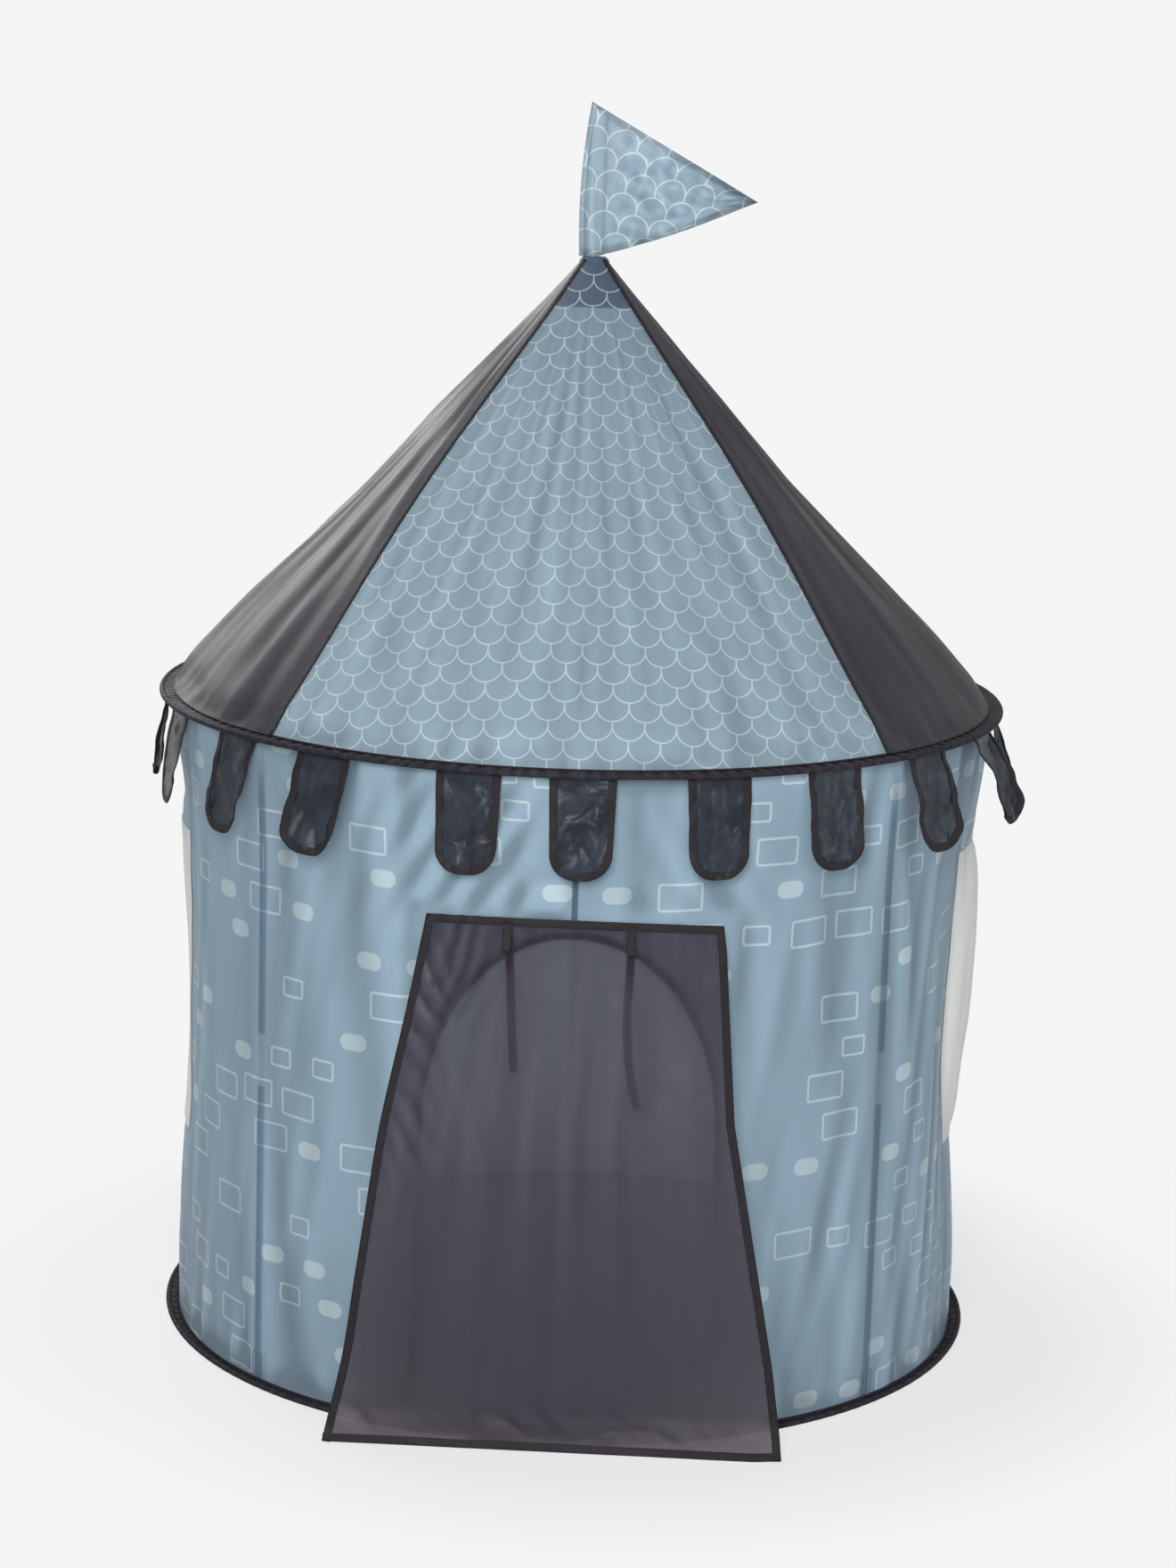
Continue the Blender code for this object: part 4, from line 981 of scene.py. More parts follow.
@effect(["Height"], Vector=None, Scale=12.0)
def crumple(tree, given):
    """Height of creased thin cloth: sharp-edged cells over soft noise."""
    place, scale = given["Vector"], given["Scale"]
    soft = tree.add("TexNoise", {"Vector": place, "Scale": scale, "Detail": 3.0, "Roughness": 0.55,
                                 "Distortion": 0.6})[0]
    cells = tree.add("TexVoronoi", {"Vector": place, "Scale": scale * 1.7, "Randomness": 1.0}, feature="SMOOTH_F1")[0]
    return [soft * 0.7 + cells * 0.3]


@effect(["Mask"], Value=0.0, Centre=0.0, Half=0.004, Soft=0.001)
def stripe(tree, given):
    """A soft-edged stripe of a value about a centre."""
    return [tree.ramp(abs(given["Value"] - given["Centre"]), given["Half"] + given["Soft"], given["Half"])]


@effect(["Mask"], Vector=None, Offset=0.0034)
def stitches(tree, given):
    """Dashes of thread along U, at a distance across in V."""
    x, y, _ = tree.split(given["Vector"])
    thread = tree.ramp(abs(abs(y) - given["Offset"]), 0.00055, 0.00030)
    return [thread * tree.ramp(tree.math("PINGPONG", x, 0.0017), 0.0004, 0.0006)]


# Paints: each gives a cloth's colour from its shader tree, the place on its flat cut and the place in space

def shaded(colour, share=1.0):
    """A colour made darker or lighter by a share, with full alpha."""
    return (*(channel * share for channel in colour[:3]), 1.0)


def toned(tree, place, colour, spread=0.06, scale=3.0):
    """A colour with soft patches a little lighter and darker."""
    patches = tree.ramp(tree.noise(place, scale, 2.0), 0.35, 0.65)
    return tree.mix(patches, shaded(colour, 1 - spread), shaded(colour, 1 + spread))


def band(tree, value, centre, half, soft):
    """A stripe's mask."""
    return tree.use(stripe, Value=value, Centre=centre, Half=half, Soft=soft)["Mask"]


def scaled(tree, flat, colour, strength):
    """A colour with printed fish scales over it."""
    scales = tree.use(fish_scales, Vector=flat, Width=sizes().scale_width, Pitch=sizes().scale_pitch,
                      Line=sizes().scale_line)["Line"]
    return tree.mix(scales * strength, colour, shaded(colours().print_line))


def wall_paint(tree, flat, place):
    """Printed blocks, the two seams, the wall poles' sewn lines with a painted shadow of each pole beside them, and
    the stitching of their foot pockets.
    """
    colour = toned(tree, place, colours().wall)
    blocks = tree.use(stone_blocks, Vector=flat, Line=sizes().block_line)
    for kind, strength in (("Fill", 0.72), ("Outline", 0.85)):
        colour = tree.mix(blocks[kind] * strength, colour, shaded(colours().print_line))
    along, height, _ = tree.split(flat)
    along = abs(along)
    pocket = POCKET_SIZE[1]
    upper, covered = (band(tree, height, (low + high) / 2, (high - low) / 2, soft)
                      for (low, high), soft in ((SLEEVE_GRIP, 0.002), (SLEEVE_HEIGHTS, 0.07)))
    covered = covered * (1.0 - upper * 0.6)
    below = tree.ramp(height, pocket + 0.001, pocket - 0.001)
    seams = [band(tree, along, 0.0, 0.0030, 0.0007), band(tree, along, pi * WALL_MID_RADIUS, 0.0035, 0.0007)]
    for pole in WALL_POLES:
        line = pole * WALL_MID_RADIUS
        # Painted shadow of the pole behind the cloth: a soft dark band just beside its sewn line, paler at the grip
        shadow = band(tree, along, line - 0.002, 0.0022, 0.0065) * 0.8
        seams.append(tree.most(band(tree, along, line, 0.0009, 0.0016), shadow) * covered)
        seams += [band(tree, along, line + side, 0.0006, 0.0005) * below for side in (-0.0075, 0.0075)]
        seams.append(band(tree, along, line, 0.0075, 0.0004) * band(tree, height, pocket, 0.0006, 0.0005))
    # Seams, the sewn pole lines with their painted shadows, and the pocket stitching, all in the seam colour
    return tree.mix(tree.most(*seams) * 0.72, colour, shaded(colours().seam))


def roof_paint(tree, flat, place):
    """Printed scales on a ground with painted shade that darkens it towards the apex and over the patch inside it."""
    height = tree.split(place)[2]
    patch = tree.ramp(height, PATCH_FOOT - 0.0012, PATCH_FOOT + 0.0012)
    # Painted shade: the ground darkens towards the apex, and more over the patch inside, where less light comes
    # through the roof
    dark = tree.most(tree.ramp(height, PATCH_FOOT - 0.20, PATCH_FOOT, 0.0, 0.26), patch * 0.82)
    colour = tree.mix(dark, toned(tree, place, colours().roof), shaded(colours().patch))
    return scaled(tree, flat, colour, 0.82)


def flag_paint(tree, flat, place):
    """Printed scales on a ground painted lighter, painted shade in the crease beside the sleeve, and the sleeve's
    stitching.
    """
    turned = tree.add("Mapping", {"Vector": flat, "Location": (0.004, 0.007, 0), "Rotation": (0, 0, radians(-7.5)),
                                  "Scale": (1, -1, 1)})[0]
    # The flag's ground is the roof colour made 8% lighter: painted light for the light that the flag catches
    colour = scaled(tree, turned, toned(tree, place, shaded(colours().roof, 1.08), 0.04), 0.88)
    across, up, _ = tree.split(flat)
    # Painted shade in the crease where the flag turns round the rod
    painted_fold_shade = band(tree, across, 0.0058, 0.0006, 0.0008)
    colour = tree.mix(painted_fold_shade * 0.45, colour, shaded(colours().roof, 0.5))
    sewn = tree.add("CombineXYZ", {"X": up, "Y": across})[0]
    thread = tree.use(stitches, Vector=sewn, Offset=0.0045)["Mask"]
    return tree.mix(thread * 0.8, colour, shaded(colours().print_line))


def binding_paint(tree, flat, place):
    """Dark tape with a line of stitches near each edge."""
    thread = tree.use(stitches, Vector=flat)["Mask"]
    return tree.mix(thread * 0.35, toned(tree, place, colours().binding, 0.08), shaded(colours().binding, 2.0))


def casing_paint(tree, flat, place):
    """Charcoal with fine dark streaks across the casing."""
    along, across, _ = tree.split(flat)
    drawn = tree.add("CombineXYZ", {"X": along * 160.0, "Y": across * 9.0})[0]
    streaks = tree.ramp(tree.noise(drawn, 1.0, 2.0), 0.35, 0.7, 0.0, 0.45)
    colour = toned(tree, place, shaded(colours().charcoal, 0.78), 0.10)
    return tree.mix(streaks, colour, shaded(colours().charcoal, 0.30))


def plain(colour, share=1.0, spread=0.06, scale=3.0):
    """Paint for a plain cloth of one of the tent's colours."""
    return lambda tree, flat, place: toned(tree, place, shaded(getattr(colours(), colour), share), spread, scale)


def down_the_cut(low, high, start, end):
    """A value that goes from start to end between two distances down from the top of a flat cut."""
    return lambda tree, flat: tree.ramp(tree.split(flat)[1], -low, -high, start, end)


# Finishes

CLOTHS = {
    "wall_taffeta": dict(paint=wall_paint, roughness=0.48, translucency=0.50, crease=0.40, clear=0.22, specular=0.2,
                         depth=0.26),
    "roof_taffeta": dict(paint=roof_paint, roughness=0.46, translucency=0.45, crease=0.30, clear=0.25, specular=0.25,
                         depth=0.22),
    "flag_taffeta": dict(paint=flag_paint, roughness=0.42, translucency=0.30, crease=0.6, crease_scale=22.0,
                         depth=0.22),
    "charcoal_taffeta": dict(paint=plain("charcoal", 0.88), roughness=0.52, translucency=0.14, crease=0.45, sheen=0.0,
                             specular=0.17, depth=0.24),
    # The tabs' strong fine light and dark patches are painted highlights of their glossy creases
    "tab_taffeta": dict(paint=plain("tab", 1.0, 0.30, 26.0), roughness=0.27, translucency=0.16, crease=1.0,
                        crease_scale=24.0, sheen=0.0, specular=0.20, clear=0.15, depth=0.45),
    # Clear falls down the flap's cut, so the light through it is less white lower down: painted shade for the dark
    # floor behind the flap's lower part
    "flap_taffeta": dict(paint=plain("flap", 1.0, 0.05), roughness=0.36, translucency=0.50, crease=0.70,
                         alpha=down_the_cut(0.12, 0.30, 0.86, 0.94), crease_scale=12.0, sheen=0.0, specular=0.18,
                         clear=down_the_cut(0.20, 0.50, 0.38, 0.29), depth=0.30, glow=(*ink(255, 244, 250), 1)),
    "lining_taffeta": dict(paint=plain("wall", 0.35), roughness=0.6, crease=0.3),
    "binding_tape": dict(paint=binding_paint, roughness=0.62, crease=0.4, crease_scale=50.0, sheen=0.0,
                         specular=0.18, thread=0.0011),
    "casing_taffeta": dict(paint=casing_paint, roughness=0.55, crease=0.6, crease_scale=60.0, sheen=0.0,
                           specular=0.02, depth=0.70),
    "floor_taffeta": dict(paint=plain("floor"), roughness=0.55, crease=0.5),
}


def fill_tree(owner, output, build):
    """Gives a material or a world the shader that build returns."""
    owner.use_nodes = True
    owner.node_tree.nodes.clear()
    tree = Tree(owner.node_tree)
    tree.add(output, {"Surface": build(tree)})


def finish(name, build):
    """A material, made once, with the shader that build returns."""
    material = bpy.data.materials.get(name)
    if not material:
        material = bpy.data.materials.new(name)
        fill_tree(material, "OutputMaterial", build)
    return material


def cloth(name):
    """A woven cloth's material, from its row in CLOTHS."""
    return finish(name, lambda tree: woven(tree, **CLOTHS[name]))


def woven(tree, paint, roughness=0.5, translucency=0.0, alpha=1.0, crease=0.5, crease_scale=11.0, sheen=0.1,
          specular=0.4, thread=0.0007, clear=0.0, depth=0.13, glow=(1, 1, 1, 1)):
    """Woven cloth: paint gives its colour, a weave and creases its surface, and light passes by its translucency.

    Clear is the share of the glow's colour in the light that comes through it. Depth is how strong the painted
    shade of its folds is: their crests are painted lighter and their hollows darker. Alpha and clear are numbers,
    or functions that work them out from the place on the flat cut.
    """
    coords = tree.add("TexCoord")
    flat, place = coords["UV"], coords["Object"]
    colour = paint(tree, flat, place)
    # Painted shade and light: the colour is lighter on the crests of folds and darker in their hollows, by the value
    # each corner carries
    shade = tree.math("MULTIPLY_ADD", tree.add("Attribute", attribute_name="crest")["Fac"], depth, 1.0)
    alpha, clear = (value(tree, flat) if callable(value) else value for value in (alpha, clear))
    passing = tree.mix(clear, colour, glow) if clear else colour
    colour, passing = (tree.add("VectorMath", {0: each, "Scale": shade}, operation="SCALE")[0]
                       for each in (colour, passing))
    creases = tree.use(crumple, Vector=place, Scale=crease_scale)["Height"]
    weave = tree.use(taffeta, Vector=flat, Thread=thread)["Height"]
    surface = tree.bump(weave, 0.25, 0.0002, Normal=tree.bump(creases, crease, 0.006))
    gloss = tree.ramp(tree.noise(place, 5.0, 4.0), 0.3, 0.7, roughness - 0.06, roughness + 0.06)
    shader = tree.add("BsdfPrincipled", {"Base Color": colour, "Roughness": gloss, "Normal": surface, "Alpha": alpha,
                                         "Specular IOR Level": specular, "Sheen Weight": sheen,
                                         "Sheen Roughness": 0.4})[0]
    if not translucency:
        return shader
    return tree.blend(translucency, shader, tree.add("BsdfTranslucent", {"Color": passing, "Normal": surface})[0])


def net_shader(tree):
    """White net: threads round square holes that let light through."""
    spacing = sizes().net_mesh
    axes = tree.split(tree.add("TexCoord")["UV"])[:2]
    threads = tree.most(*(tree.ramp(tree.math("PINGPONG", axis, spacing / 2), spacing * 0.24, spacing * 0.16)
                          for axis in axes))
    white = shaded(colours().net)
    surface = tree.bump(threads, 0.4, 0.0003)
    shader = tree.add("BsdfPrincipled", {"Base Color": white, "Roughness": 0.7, "Normal": surface,
                                         "Alpha": tree.ramp(threads, 0.0, 1.0, 0.80, 1.0),
                                         "Specular IOR Level": 0.3})[0]
    return tree.blend(0.25, shader, tree.add("BsdfTranslucent", {"Color": white, "Normal": surface})[0])


def hard_finish(name, colour, roughness, metallic=0.0, grain=90.0):
    """Moulded plastic, glass fibre or wire: a plain colour with fine uneven gloss and grain."""
    def build(tree):
        place = tree.add("TexCoord")["Object"]
        speckle, scuffs = tree.noise(place, grain, 5.0), tree.noise(place, grain / 6, 3.0)
        shade = tree.mix(tree.ramp(scuffs, 0.4, 0.7), shaded(colour, 0.92), shaded(colour, 1.12))
        gloss = tree.ramp(speckle, 0.3, 0.7, roughness - 0.07, roughness + 0.09)
        return tree.add("BsdfPrincipled", {"Base Color": shade, "Roughness": gloss, "Metallic": metallic,
                                           "Normal": tree.bump(speckle, 0.12, 0.0004)})[0]
    return finish(name, build)


def beyond_object(tree):
    """1 for camera, glossy and transmission rays, which see the backdrop, and 0 for the light on the object."""
    rays = tree.add("LightPath")
    return tree.most(*(rays[f"Is {kind} Ray"] for kind in ("Camera", "Glossy", "Transmission")))


# Pieces

def corners(azimuth):
    """The four corners of a kind of pole: (end_side, side, which end, which side, azimuth)."""
    return [(f"{end}_{side}", side, front, right, right * (azimuth if front > 0 else pi - azimuth))
            for end, front in ENDS for side, right in SIDES]


def casing_section(width, flat_foot):
    """Section of a hoop casing, from the inner seam over the wire and back: (inwards, up), and its gather share.

    The bulge over the wire is most of a circle, and the flange rises to it with the cube of its run.
    """
    turns = np.linspace(radians(150), radians(-150), 15)
    bulge = packed(CASING_BULGE - CASING_BULGE * np.cos(turns), CASING_BULGE * np.sin(turns))
    drop = CASING_BULGE - LAYERS if flat_foot else 0.0
    runs = np.linspace(0, 1, 9)[:-1]
    inner, top = bulge[0]
    over = packed(width - (width - inner) * runs, LAYERS - drop + (top - LAYERS + drop) * runs ** 3)
    under = over[::-1] * np.array([1, -1]) - np.array([0, 2 * drop])
    if flat_foot:
        under[:, 1] = np.maximum(under[:, 1], -CASING_BULGE)
    gather = np.sin(pi * (0.15 + 0.8 * runs))
    share = np.concatenate([gather, np.full(len(turns), 0.25), gather[::-1] * (0.0 if flat_foot else 0.7)])
    return np.concatenate([over, bulge, under]), share


def make_casing(name, radius, width, height, flat_foot, seed):
    """A hoop casing: its section carried round, with radial gathers raised on its flange."""
    section, share = casing_section(width, flat_foot)
    turns = full_turn(840)[:, None]
    along = turns * radius
    ridges = np.cos(2 * pi * (along / GATHER_PITCH) + 2.2 * noise(along * 23, 0.0, seed))
    gathers = (0.5 + 0.5 * ridges) * (0.55 + 0.45 * noise(along * 31, 1.0, seed + 1)) * GATHER_HEIGHT
    wobble = 0.0 if flat_foot else 0.00028 * noise(along * 9, 2.0, seed + 2)
    reach = radius - section[:, 0] + wobble * (share < 0.3)
    rise = height + section[:, 1] + gathers * share * np.sign(section[:, 1] + 1e-9)
    points = around(reach, turns, rise)
    faces = [grid_faces(*points.shape[:2], True, True)]
    points = points.reshape(-1, 3)
    uv = packed(along, travelled(section))
    # Painted shade and light of the gathers: lighter on their ridges, darker between them, strongest on the flange
    crest = 1.1 * (ridges + 0.15) * share
    dress(new_piece(name, points, closed_out(points, faces), uv, cloth("casing_taffeta"), crest), name)


def make_wall():
    """Two half walls on grids, with the doorway and a window cut out of each, and tape round the doorway."""
    width, tall = pi * WALL_MID_RADIUS, WALL_HEAD - WALL_FOOT
    seam = SEAM_STEP / WALL_MID_RADIUS
    turns = np.linspace(seam, pi - seam, round(width / WALL_CELL) + 1)
    heights = np.linspace(WALL_FOOT, WALL_HEAD, round(tall / WALL_CELL) + 1)
    door_area = (DOOR_TOP - DOOR_SILL) * DOOR_HALF_WIDTH * DOOR_SHARE
    window_area = (WINDOW_TOP - WINDOW_FOOT) * 2 * WINDOW_HALF_ANGLE * WALL_MID_RADIUS
    for side, right in SIDES:
        along, rise = np.meshgrid(np.sort(turns * right) * WALL_MID_RADIUS, heights)
        cells = packed(along.ravel(), rise.ravel())
        faces = grid_faces(*along.shape)
        halves = []
        for outline, inside in ((doorway_outline(), in_doorway), (window_outline(right), in_window(right))):
            line = dense(outline)
            state = outline_at(line[line[:, 0] * right > 0], cells, inside)
            faces, half = cut_faces(faces, state, cells, inside)
            halves.append(half)
        points = wall_point(cells[:, 0] / WALL_MID_RADIUS, cells[:, 1])
        grid = points.reshape(*along.shape, 3)
        # Painted shade of the wall's folds: lighter on their crests, darker in their hollows
        crest = crests(grid, grid - np.array(BODY_CENTRE), reach=4).ravel()
        parts = [facing(points, part, BODY_CENTRE) for part in (faces, *halves) if len(part)]
        used = np.unique(np.concatenate([part.ravel() for part in parts]))
        renumber = np.zeros(len(points), int)
        renumber[used] = np.arange(len(used))
        piece = new_piece(f"wall_cloth_{side}", points[used], [renumber[part] for part in parts], cells[used],
                          cloth("wall_taffeta"), crest[used])
        dress(piece, f"wall_panel_{side}", slot="wall_print_cloth")
        width * tall - door_area - window_area
    arch = dense(np.roll(doorway_outline(), -2, axis=0), step=0.006) / np.array([WALL_MID_RADIUS, 1])
    taped = sizes().tape_width
    dress(tape("doorway_binding", wall_point, [arch], (taped, ARCH_THICKNESS), "binding_tape", -0.0009,
               taped * ARCH_INSET, closed=True))


def make_seam_tape():
    """Tape inside the wall, over its front seam."""
    seam = packed(0.0, np.linspace(DOOR_TOP + 0.003, EAVE_HEIGHT - 0.011, 30))
    dress(tape("seam_tape_front", wall_point, [seam], SEAM_TAPE, "lining_taffeta", -0.0016), "front_seam_tape")


def make_windows():
    """The nets, and a narrow hem round each window."""
    half = WALL_MID_RADIUS * WINDOW_HALF_ANGLE + WINDOW_LAP
    tall = WINDOW_TOP - WINDOW_FOOT + 2 * WINDOW_LAP
    for side, right in SIDES:
        net = sheet_mesh(f"net_{side}", net_surface(right), np.linspace(-1, 1, 45), np.linspace(0, 1, 61),
                         lambda a, b: (a * half, b * tall), finish("window_net_weave", net_shader))
        dress(net, f"window_net_{side}", slot="white_net")
        2 * half
        outline = dense(window_outline(right), step=0.006) / np.array([WALL_MID_RADIUS, 1])
        dress(tape(f"window_hem_{side}", wall_point, [outline], WINDOW_HEM, "lining_taffeta", 0.0003, closed=True))


def make_sleeves():
    """The cloth sleeves on the wall poles, with their foot pockets, and those on the roof poles."""
    (low, high), (grip_foot, grip_head) = SLEEVE_HEIGHTS, SLEEVE_GRIP
    for name, side, front, right, azimuth in corners(WALL_POLE_AZIMUTH):
        seed = right + 2 * front
        lower, upper = (tube(f"pole_sleeve_{label}_{name}", around(WALL_POLE_RADIUS, azimuth, heights), SLEEVE_RADIUS,
                             "lining_taffeta", 0.94, 0.05, seed + start)
                        for label, heights, start in (("lower", np.linspace(low, grip_foot, 34), 0),
                                                      ("upper", np.linspace(grip_head, high, 28), 34)))
        dress(lower, f"wall_pole_sleeve_{name}", slot="sleeve_cloth")
        dress(upper, slot="sleeve_cloth")
        pocket = make_pocket(name, azimuth)
    shares = np.linspace(0.12, 0.86, 60)
    (radius, height), slope = ridge(shares), ridge_slope(shares)
    radius, height = radius - POLE_UNDER_RIDGE * np.sin(slope), height - POLE_UNDER_RIDGE * np.cos(slope)
    for name, _, _, right, azimuth in corners(ROOF_POLE_AZIMUTH):
        sleeve = tube(f"ridge_sleeve_{name}", around(radius, azimuth, height), RIDGE_SLEEVE_RADIUS, "binding_tape",
                      1.0, 0.04, right)
        dress(sleeve, f"roof_pole_sleeve_{name}")


def make_pocket(name, azimuth):
    """A pocket sewn inside the wall's foot, bulging round the pole's end with a bell across and a step at its top."""
    wide, tall = POCKET_SIZE

    def place(x, z):
        bulge = 0.0105 * bump_at(x, 0, 0.0075) * smooth(1 - (z - WALL_FOOT - 0.85 * tall) / (0.5 * tall))
        turn = azimuth + x / WALL_MID_RADIUS
        return around(wall_radius(turn, z) - 0.0012 - bulge, turn, z)
    pocket = sheet_mesh(f"foot_pocket_{name}", place, np.linspace(-wide / 2, wide / 2, 21),
                        np.linspace(WALL_FOOT, WALL_FOOT + tall, 14), lambda a, b: (a, b), cloth("lining_taffeta"))
    return dress(pocket, slot="sleeve_cloth")


def ridge_point(azimuth, share):
    """A point of the roof's full cone, as bowed as its ridges."""
    radius, height = ridge(share)
    return around(radius, azimuth, height)


def make_roof():
    """Four gores, tape down their seams, the binding at the apex and the patch inside it."""
    side_half = pi / 2 - ROOF_POLE_AZIMUTH
    printed, charcoal = ("roof_taffeta", "roof_print_cloth"), ("charcoal_taffeta", "charcoal_cloth")
    gores = (("front", 0.0, ROOF_POLE_AZIMUTH, printed, 1.0), ("right", pi / 2, side_half, charcoal, 1.0),
             ("back", pi, ROOF_POLE_AZIMUTH, printed, 1.0), ("left", -pi / 2, side_half, charcoal, 1.35))
    shares = np.concatenate([np.linspace(0, 0.08, 12)[:-1], np.linspace(0.08, 1, 82)])
    slope_length = np.hypot(ROOF_FOOT_RADIUS - APEX_RADIUS, APEX_HEIGHT - ROOF_FOOT)
    for index, (name, middle, half_span, (material, slot), streaks) in enumerate(gores):
        piece = sheet_mesh(f"gore_{name}", gore_surface(middle, half_span, 70 + 10 * index, streaks),
                           np.linspace(-1, 1, 93), shares, lambda a, b: gore_flat(a, b, half_span), cloth(material),
                           ROOF_CENTRE)
        dress(piece, f"roof_gore_{name}", slot=slot)
        width = 2 * half_span * ROOF_FOOT_RADIUS
        width * slope_length * GORE_SHARE
    for name, _, _, _, azimuth in corners(ROOF_POLE_AZIMUTH):
        dress(tape(f"ridge_piping_{name}", ridge_point, [packed(azimuth, np.linspace(0.0, 1.0, 90))], RIDGE_PIPING,
                   "binding_tape", 0.0003, centre=ROOF_CENTRE))
    turns = full_turn(360)
    dress(tape("eave_piping", ridge_point, [packed(turns, 0.001)], EAVE_PIPING, "binding_tape", closed=True,
               centre=ROOF_CENTRE))
    a, rise = np.meshgrid(turns[::5], APEX_HEIGHT + APEX_COLLAR[:, 1])
    points = around(APEX_COLLAR[:, :1], a, rise).reshape(-1, 3)
    faces = closed_out(points, [grid_faces(*a.shape, True, True)])
    collar = new_piece("apex_collar", points, faces, packed(a * 0, rise * 0 + 0.008), cloth("roof_taffeta"))
    dress(collar, slot="roof_print_cloth")
    patch_share = (PATCH_FOOT - ROOF_FOOT) / (APEX_HEIGHT - ROOF_FOOT)
    a, b = np.meshgrid(full_turn(72), np.linspace(patch_share, 0.985, 9))
    radius, height = ridge(b)
    points = around(radius * 0.86 - 0.0016, a, height - 0.0008).reshape(-1, 3)
    faces = facing(points, grid_faces(*a.shape, wrap_columns=True), ROOF_CENTRE)
    dress(new_piece("apex_patch", points, [faces], packed(a * 0.05, b), cloth("lining_taffeta")))


def make_merlons():
    """Each merlon tab with its binding, on its own hinge."""
    spread = np.random.default_rng(5).uniform(-1, 1, (MERLONS + 1, 3)) * np.array(TAB_SPREAD)
    down = np.concatenate([np.linspace(0, 0.74, 27)[:-1], 0.74 + 0.26 * np.sin(np.linspace(0, pi / 2, 17))])
    down = down * MERLON_LENGTH
    half = tab_half_width(down)
    edge = np.concatenate([packed(-half, down), packed(half, down)[::-1]])
    edge = edge[np.linalg.norm(np.diff(edge, axis=0, prepend=-1.0), axis=1) > 1e-6]
    for number in range(1, MERLONS + 1):
        label = f"{number:02d}"
        surface = tab_surface(number, TAB_FORMS.get(number, (*spread[number], 0.0)))
        tab = sheet_mesh(f"tab_{label}", lambda a, y: surface(a * tab_half_width(y), y), np.linspace(-1, 1, 29), down,
                         lambda a, y: (a * tab_half_width(y), -y), cloth("tab_taffeta"))
        dress(tab, f"merlon_{label}", body=f"merlon_tab_{label}", slot="charcoal_cloth")
        bound = dress(binding(f"tab_binding_{label}", surface, [edge]), body=f"merlon_tab_{label}")


def make_flap():
    """The door flap, its binding on all four sides, and the two ties: loops in front and tails behind."""
    down = np.concatenate([np.linspace(0, 0.86, 136)[:-1], np.linspace(0.86, 1, 31)])
    flap = sheet_mesh("flap_cloth", flap_point, np.linspace(-1, 1, 121), down,
                      lambda a, b: (a * (0.165 + 0.095 * b), -b * FLAP_TOP), cloth("flap_taffeta"), reach=5)
    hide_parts("door_flap")
    steps, wide = np.linspace(0, 1, 100), np.linspace(-1, 1, 70)
    pieces = [binding("flap_binding", flap_point, [packed(-1.0, steps), packed(wide, 1.0), packed(1.0, 1 - steps)]),
              binding("flap_top_binding", flap_point, [packed(wide[::-1], 0.0)], 0.0004)]
    for (side, right), x, tail, swings in zip(SIDES, TIE_PLACES, TIE_TAILS, TIE_SWINGS):
        pieces += make_tie(side, -right, x, tail, swings)
    for piece in (flap, *pieces):
        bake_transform(piece)
    hem = HEM_RIGHT[0] - HEM_LEFT[0]
    (FLAP_TOP_RIGHT - FLAP_TOP_LEFT + hem) / 2 * FLAP_TOP


def make_tie(side, lean, x, tail_length, swings):
    """A ribbon loop folded in front of the flap's top edge, and the ribbon's tail hanging behind the flap.

    The loop goes down and up again with the sine of its share, and its second half lies on its first. The tail
    sways by the swings, with its share and with its share's fourth power.
    """
    across = 2 * (x - FLAP_TOP_LEFT) / (FLAP_TOP_RIGHT - FLAP_TOP_LEFT) - 1
    share = np.linspace(0, 1, 30)
    fall = 0.004 + TIE_LOOP * np.sin(pi * np.minimum(share, 0.98)) ** 0.8
    path, up = surface_frame(flap_point, across + 0.006 * lean * share, fall / FLAP_TOP, BODY_CENTRE)
    path = path + up * (0.0014 + (0.0026 + 0.0020 * (share > 0.5)) * np.sin(pi * share))[:, None]
    along = unit(np.gradient(path, axis=0))
    normal = unit(np.cross((1.0, 0.0, 0.0), along))
    loop = carry(path, unit(np.cross(along, normal)), normal, flat_section(TIE_WIDTH, 0.0009))
    loop = new_piece(f"tie_loop_{side}", *loop, cloth("binding_tape"))
    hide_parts(f"door_tie_{side}")
    fall = np.linspace(0.006, tail_length, 60)
    share = fall / tail_length
    path, up = surface_frame(flap_point, across + swings[0] * share + swings[1] * share ** 4, fall / FLAP_TOP,
                             BODY_CENTRE)
    along = unit(np.gradient(path, axis=0))
    behind = 0.0009 + 0.013 * smooth((fall - 0.04) / 0.07)
    tail = carry(path - up * behind[:, None], unit(np.cross(up, along)), up, flat_section(TIE_WIDTH, 0.0007))
    return [loop, new_piece(f"tie_tail_{side}", *tail, cloth("binding_tape"))]


def make_flag():
    """The flag: its front, the turn round the rod and its back, as one sheet."""
    run = np.linspace(0, 1, 70)
    a, b = np.meshgrid(np.concatenate([-run[::-1], run[1:]]), np.linspace(0, 1, 44))
    grid = flag_surface(a, b)
    points = grid.reshape(-1, 3)
    faces = closed_out(points, [grid_faces(*a.shape)])
    hoist = grid[:, len(run) - 1, 0][:, None]
    inset = np.minimum(b, 1 - b) * (grid[-1, :, 2] - grid[0, :, 2])
    allowance = smooth((0.0095 - inset) / 0.003) * (0.65 + 0.35 * noise(a * 11, b * 3, 61))
    # Painted shade of the flag's folds; the doubled hem allowance along its top and foot edges is made darker as well
    crest = crests(grid, np.sign(a)[..., None] * np.array((0, 1, 0))) - 1.9 * allowance
    uv = packed(grid[..., 0] - hoist, grid[..., 2])
    flag = dress(new_piece("flag_cloth", points, faces, uv, cloth("flag_taffeta"), crest), "flag", body="pennant",
                 slot="flag_cloth")


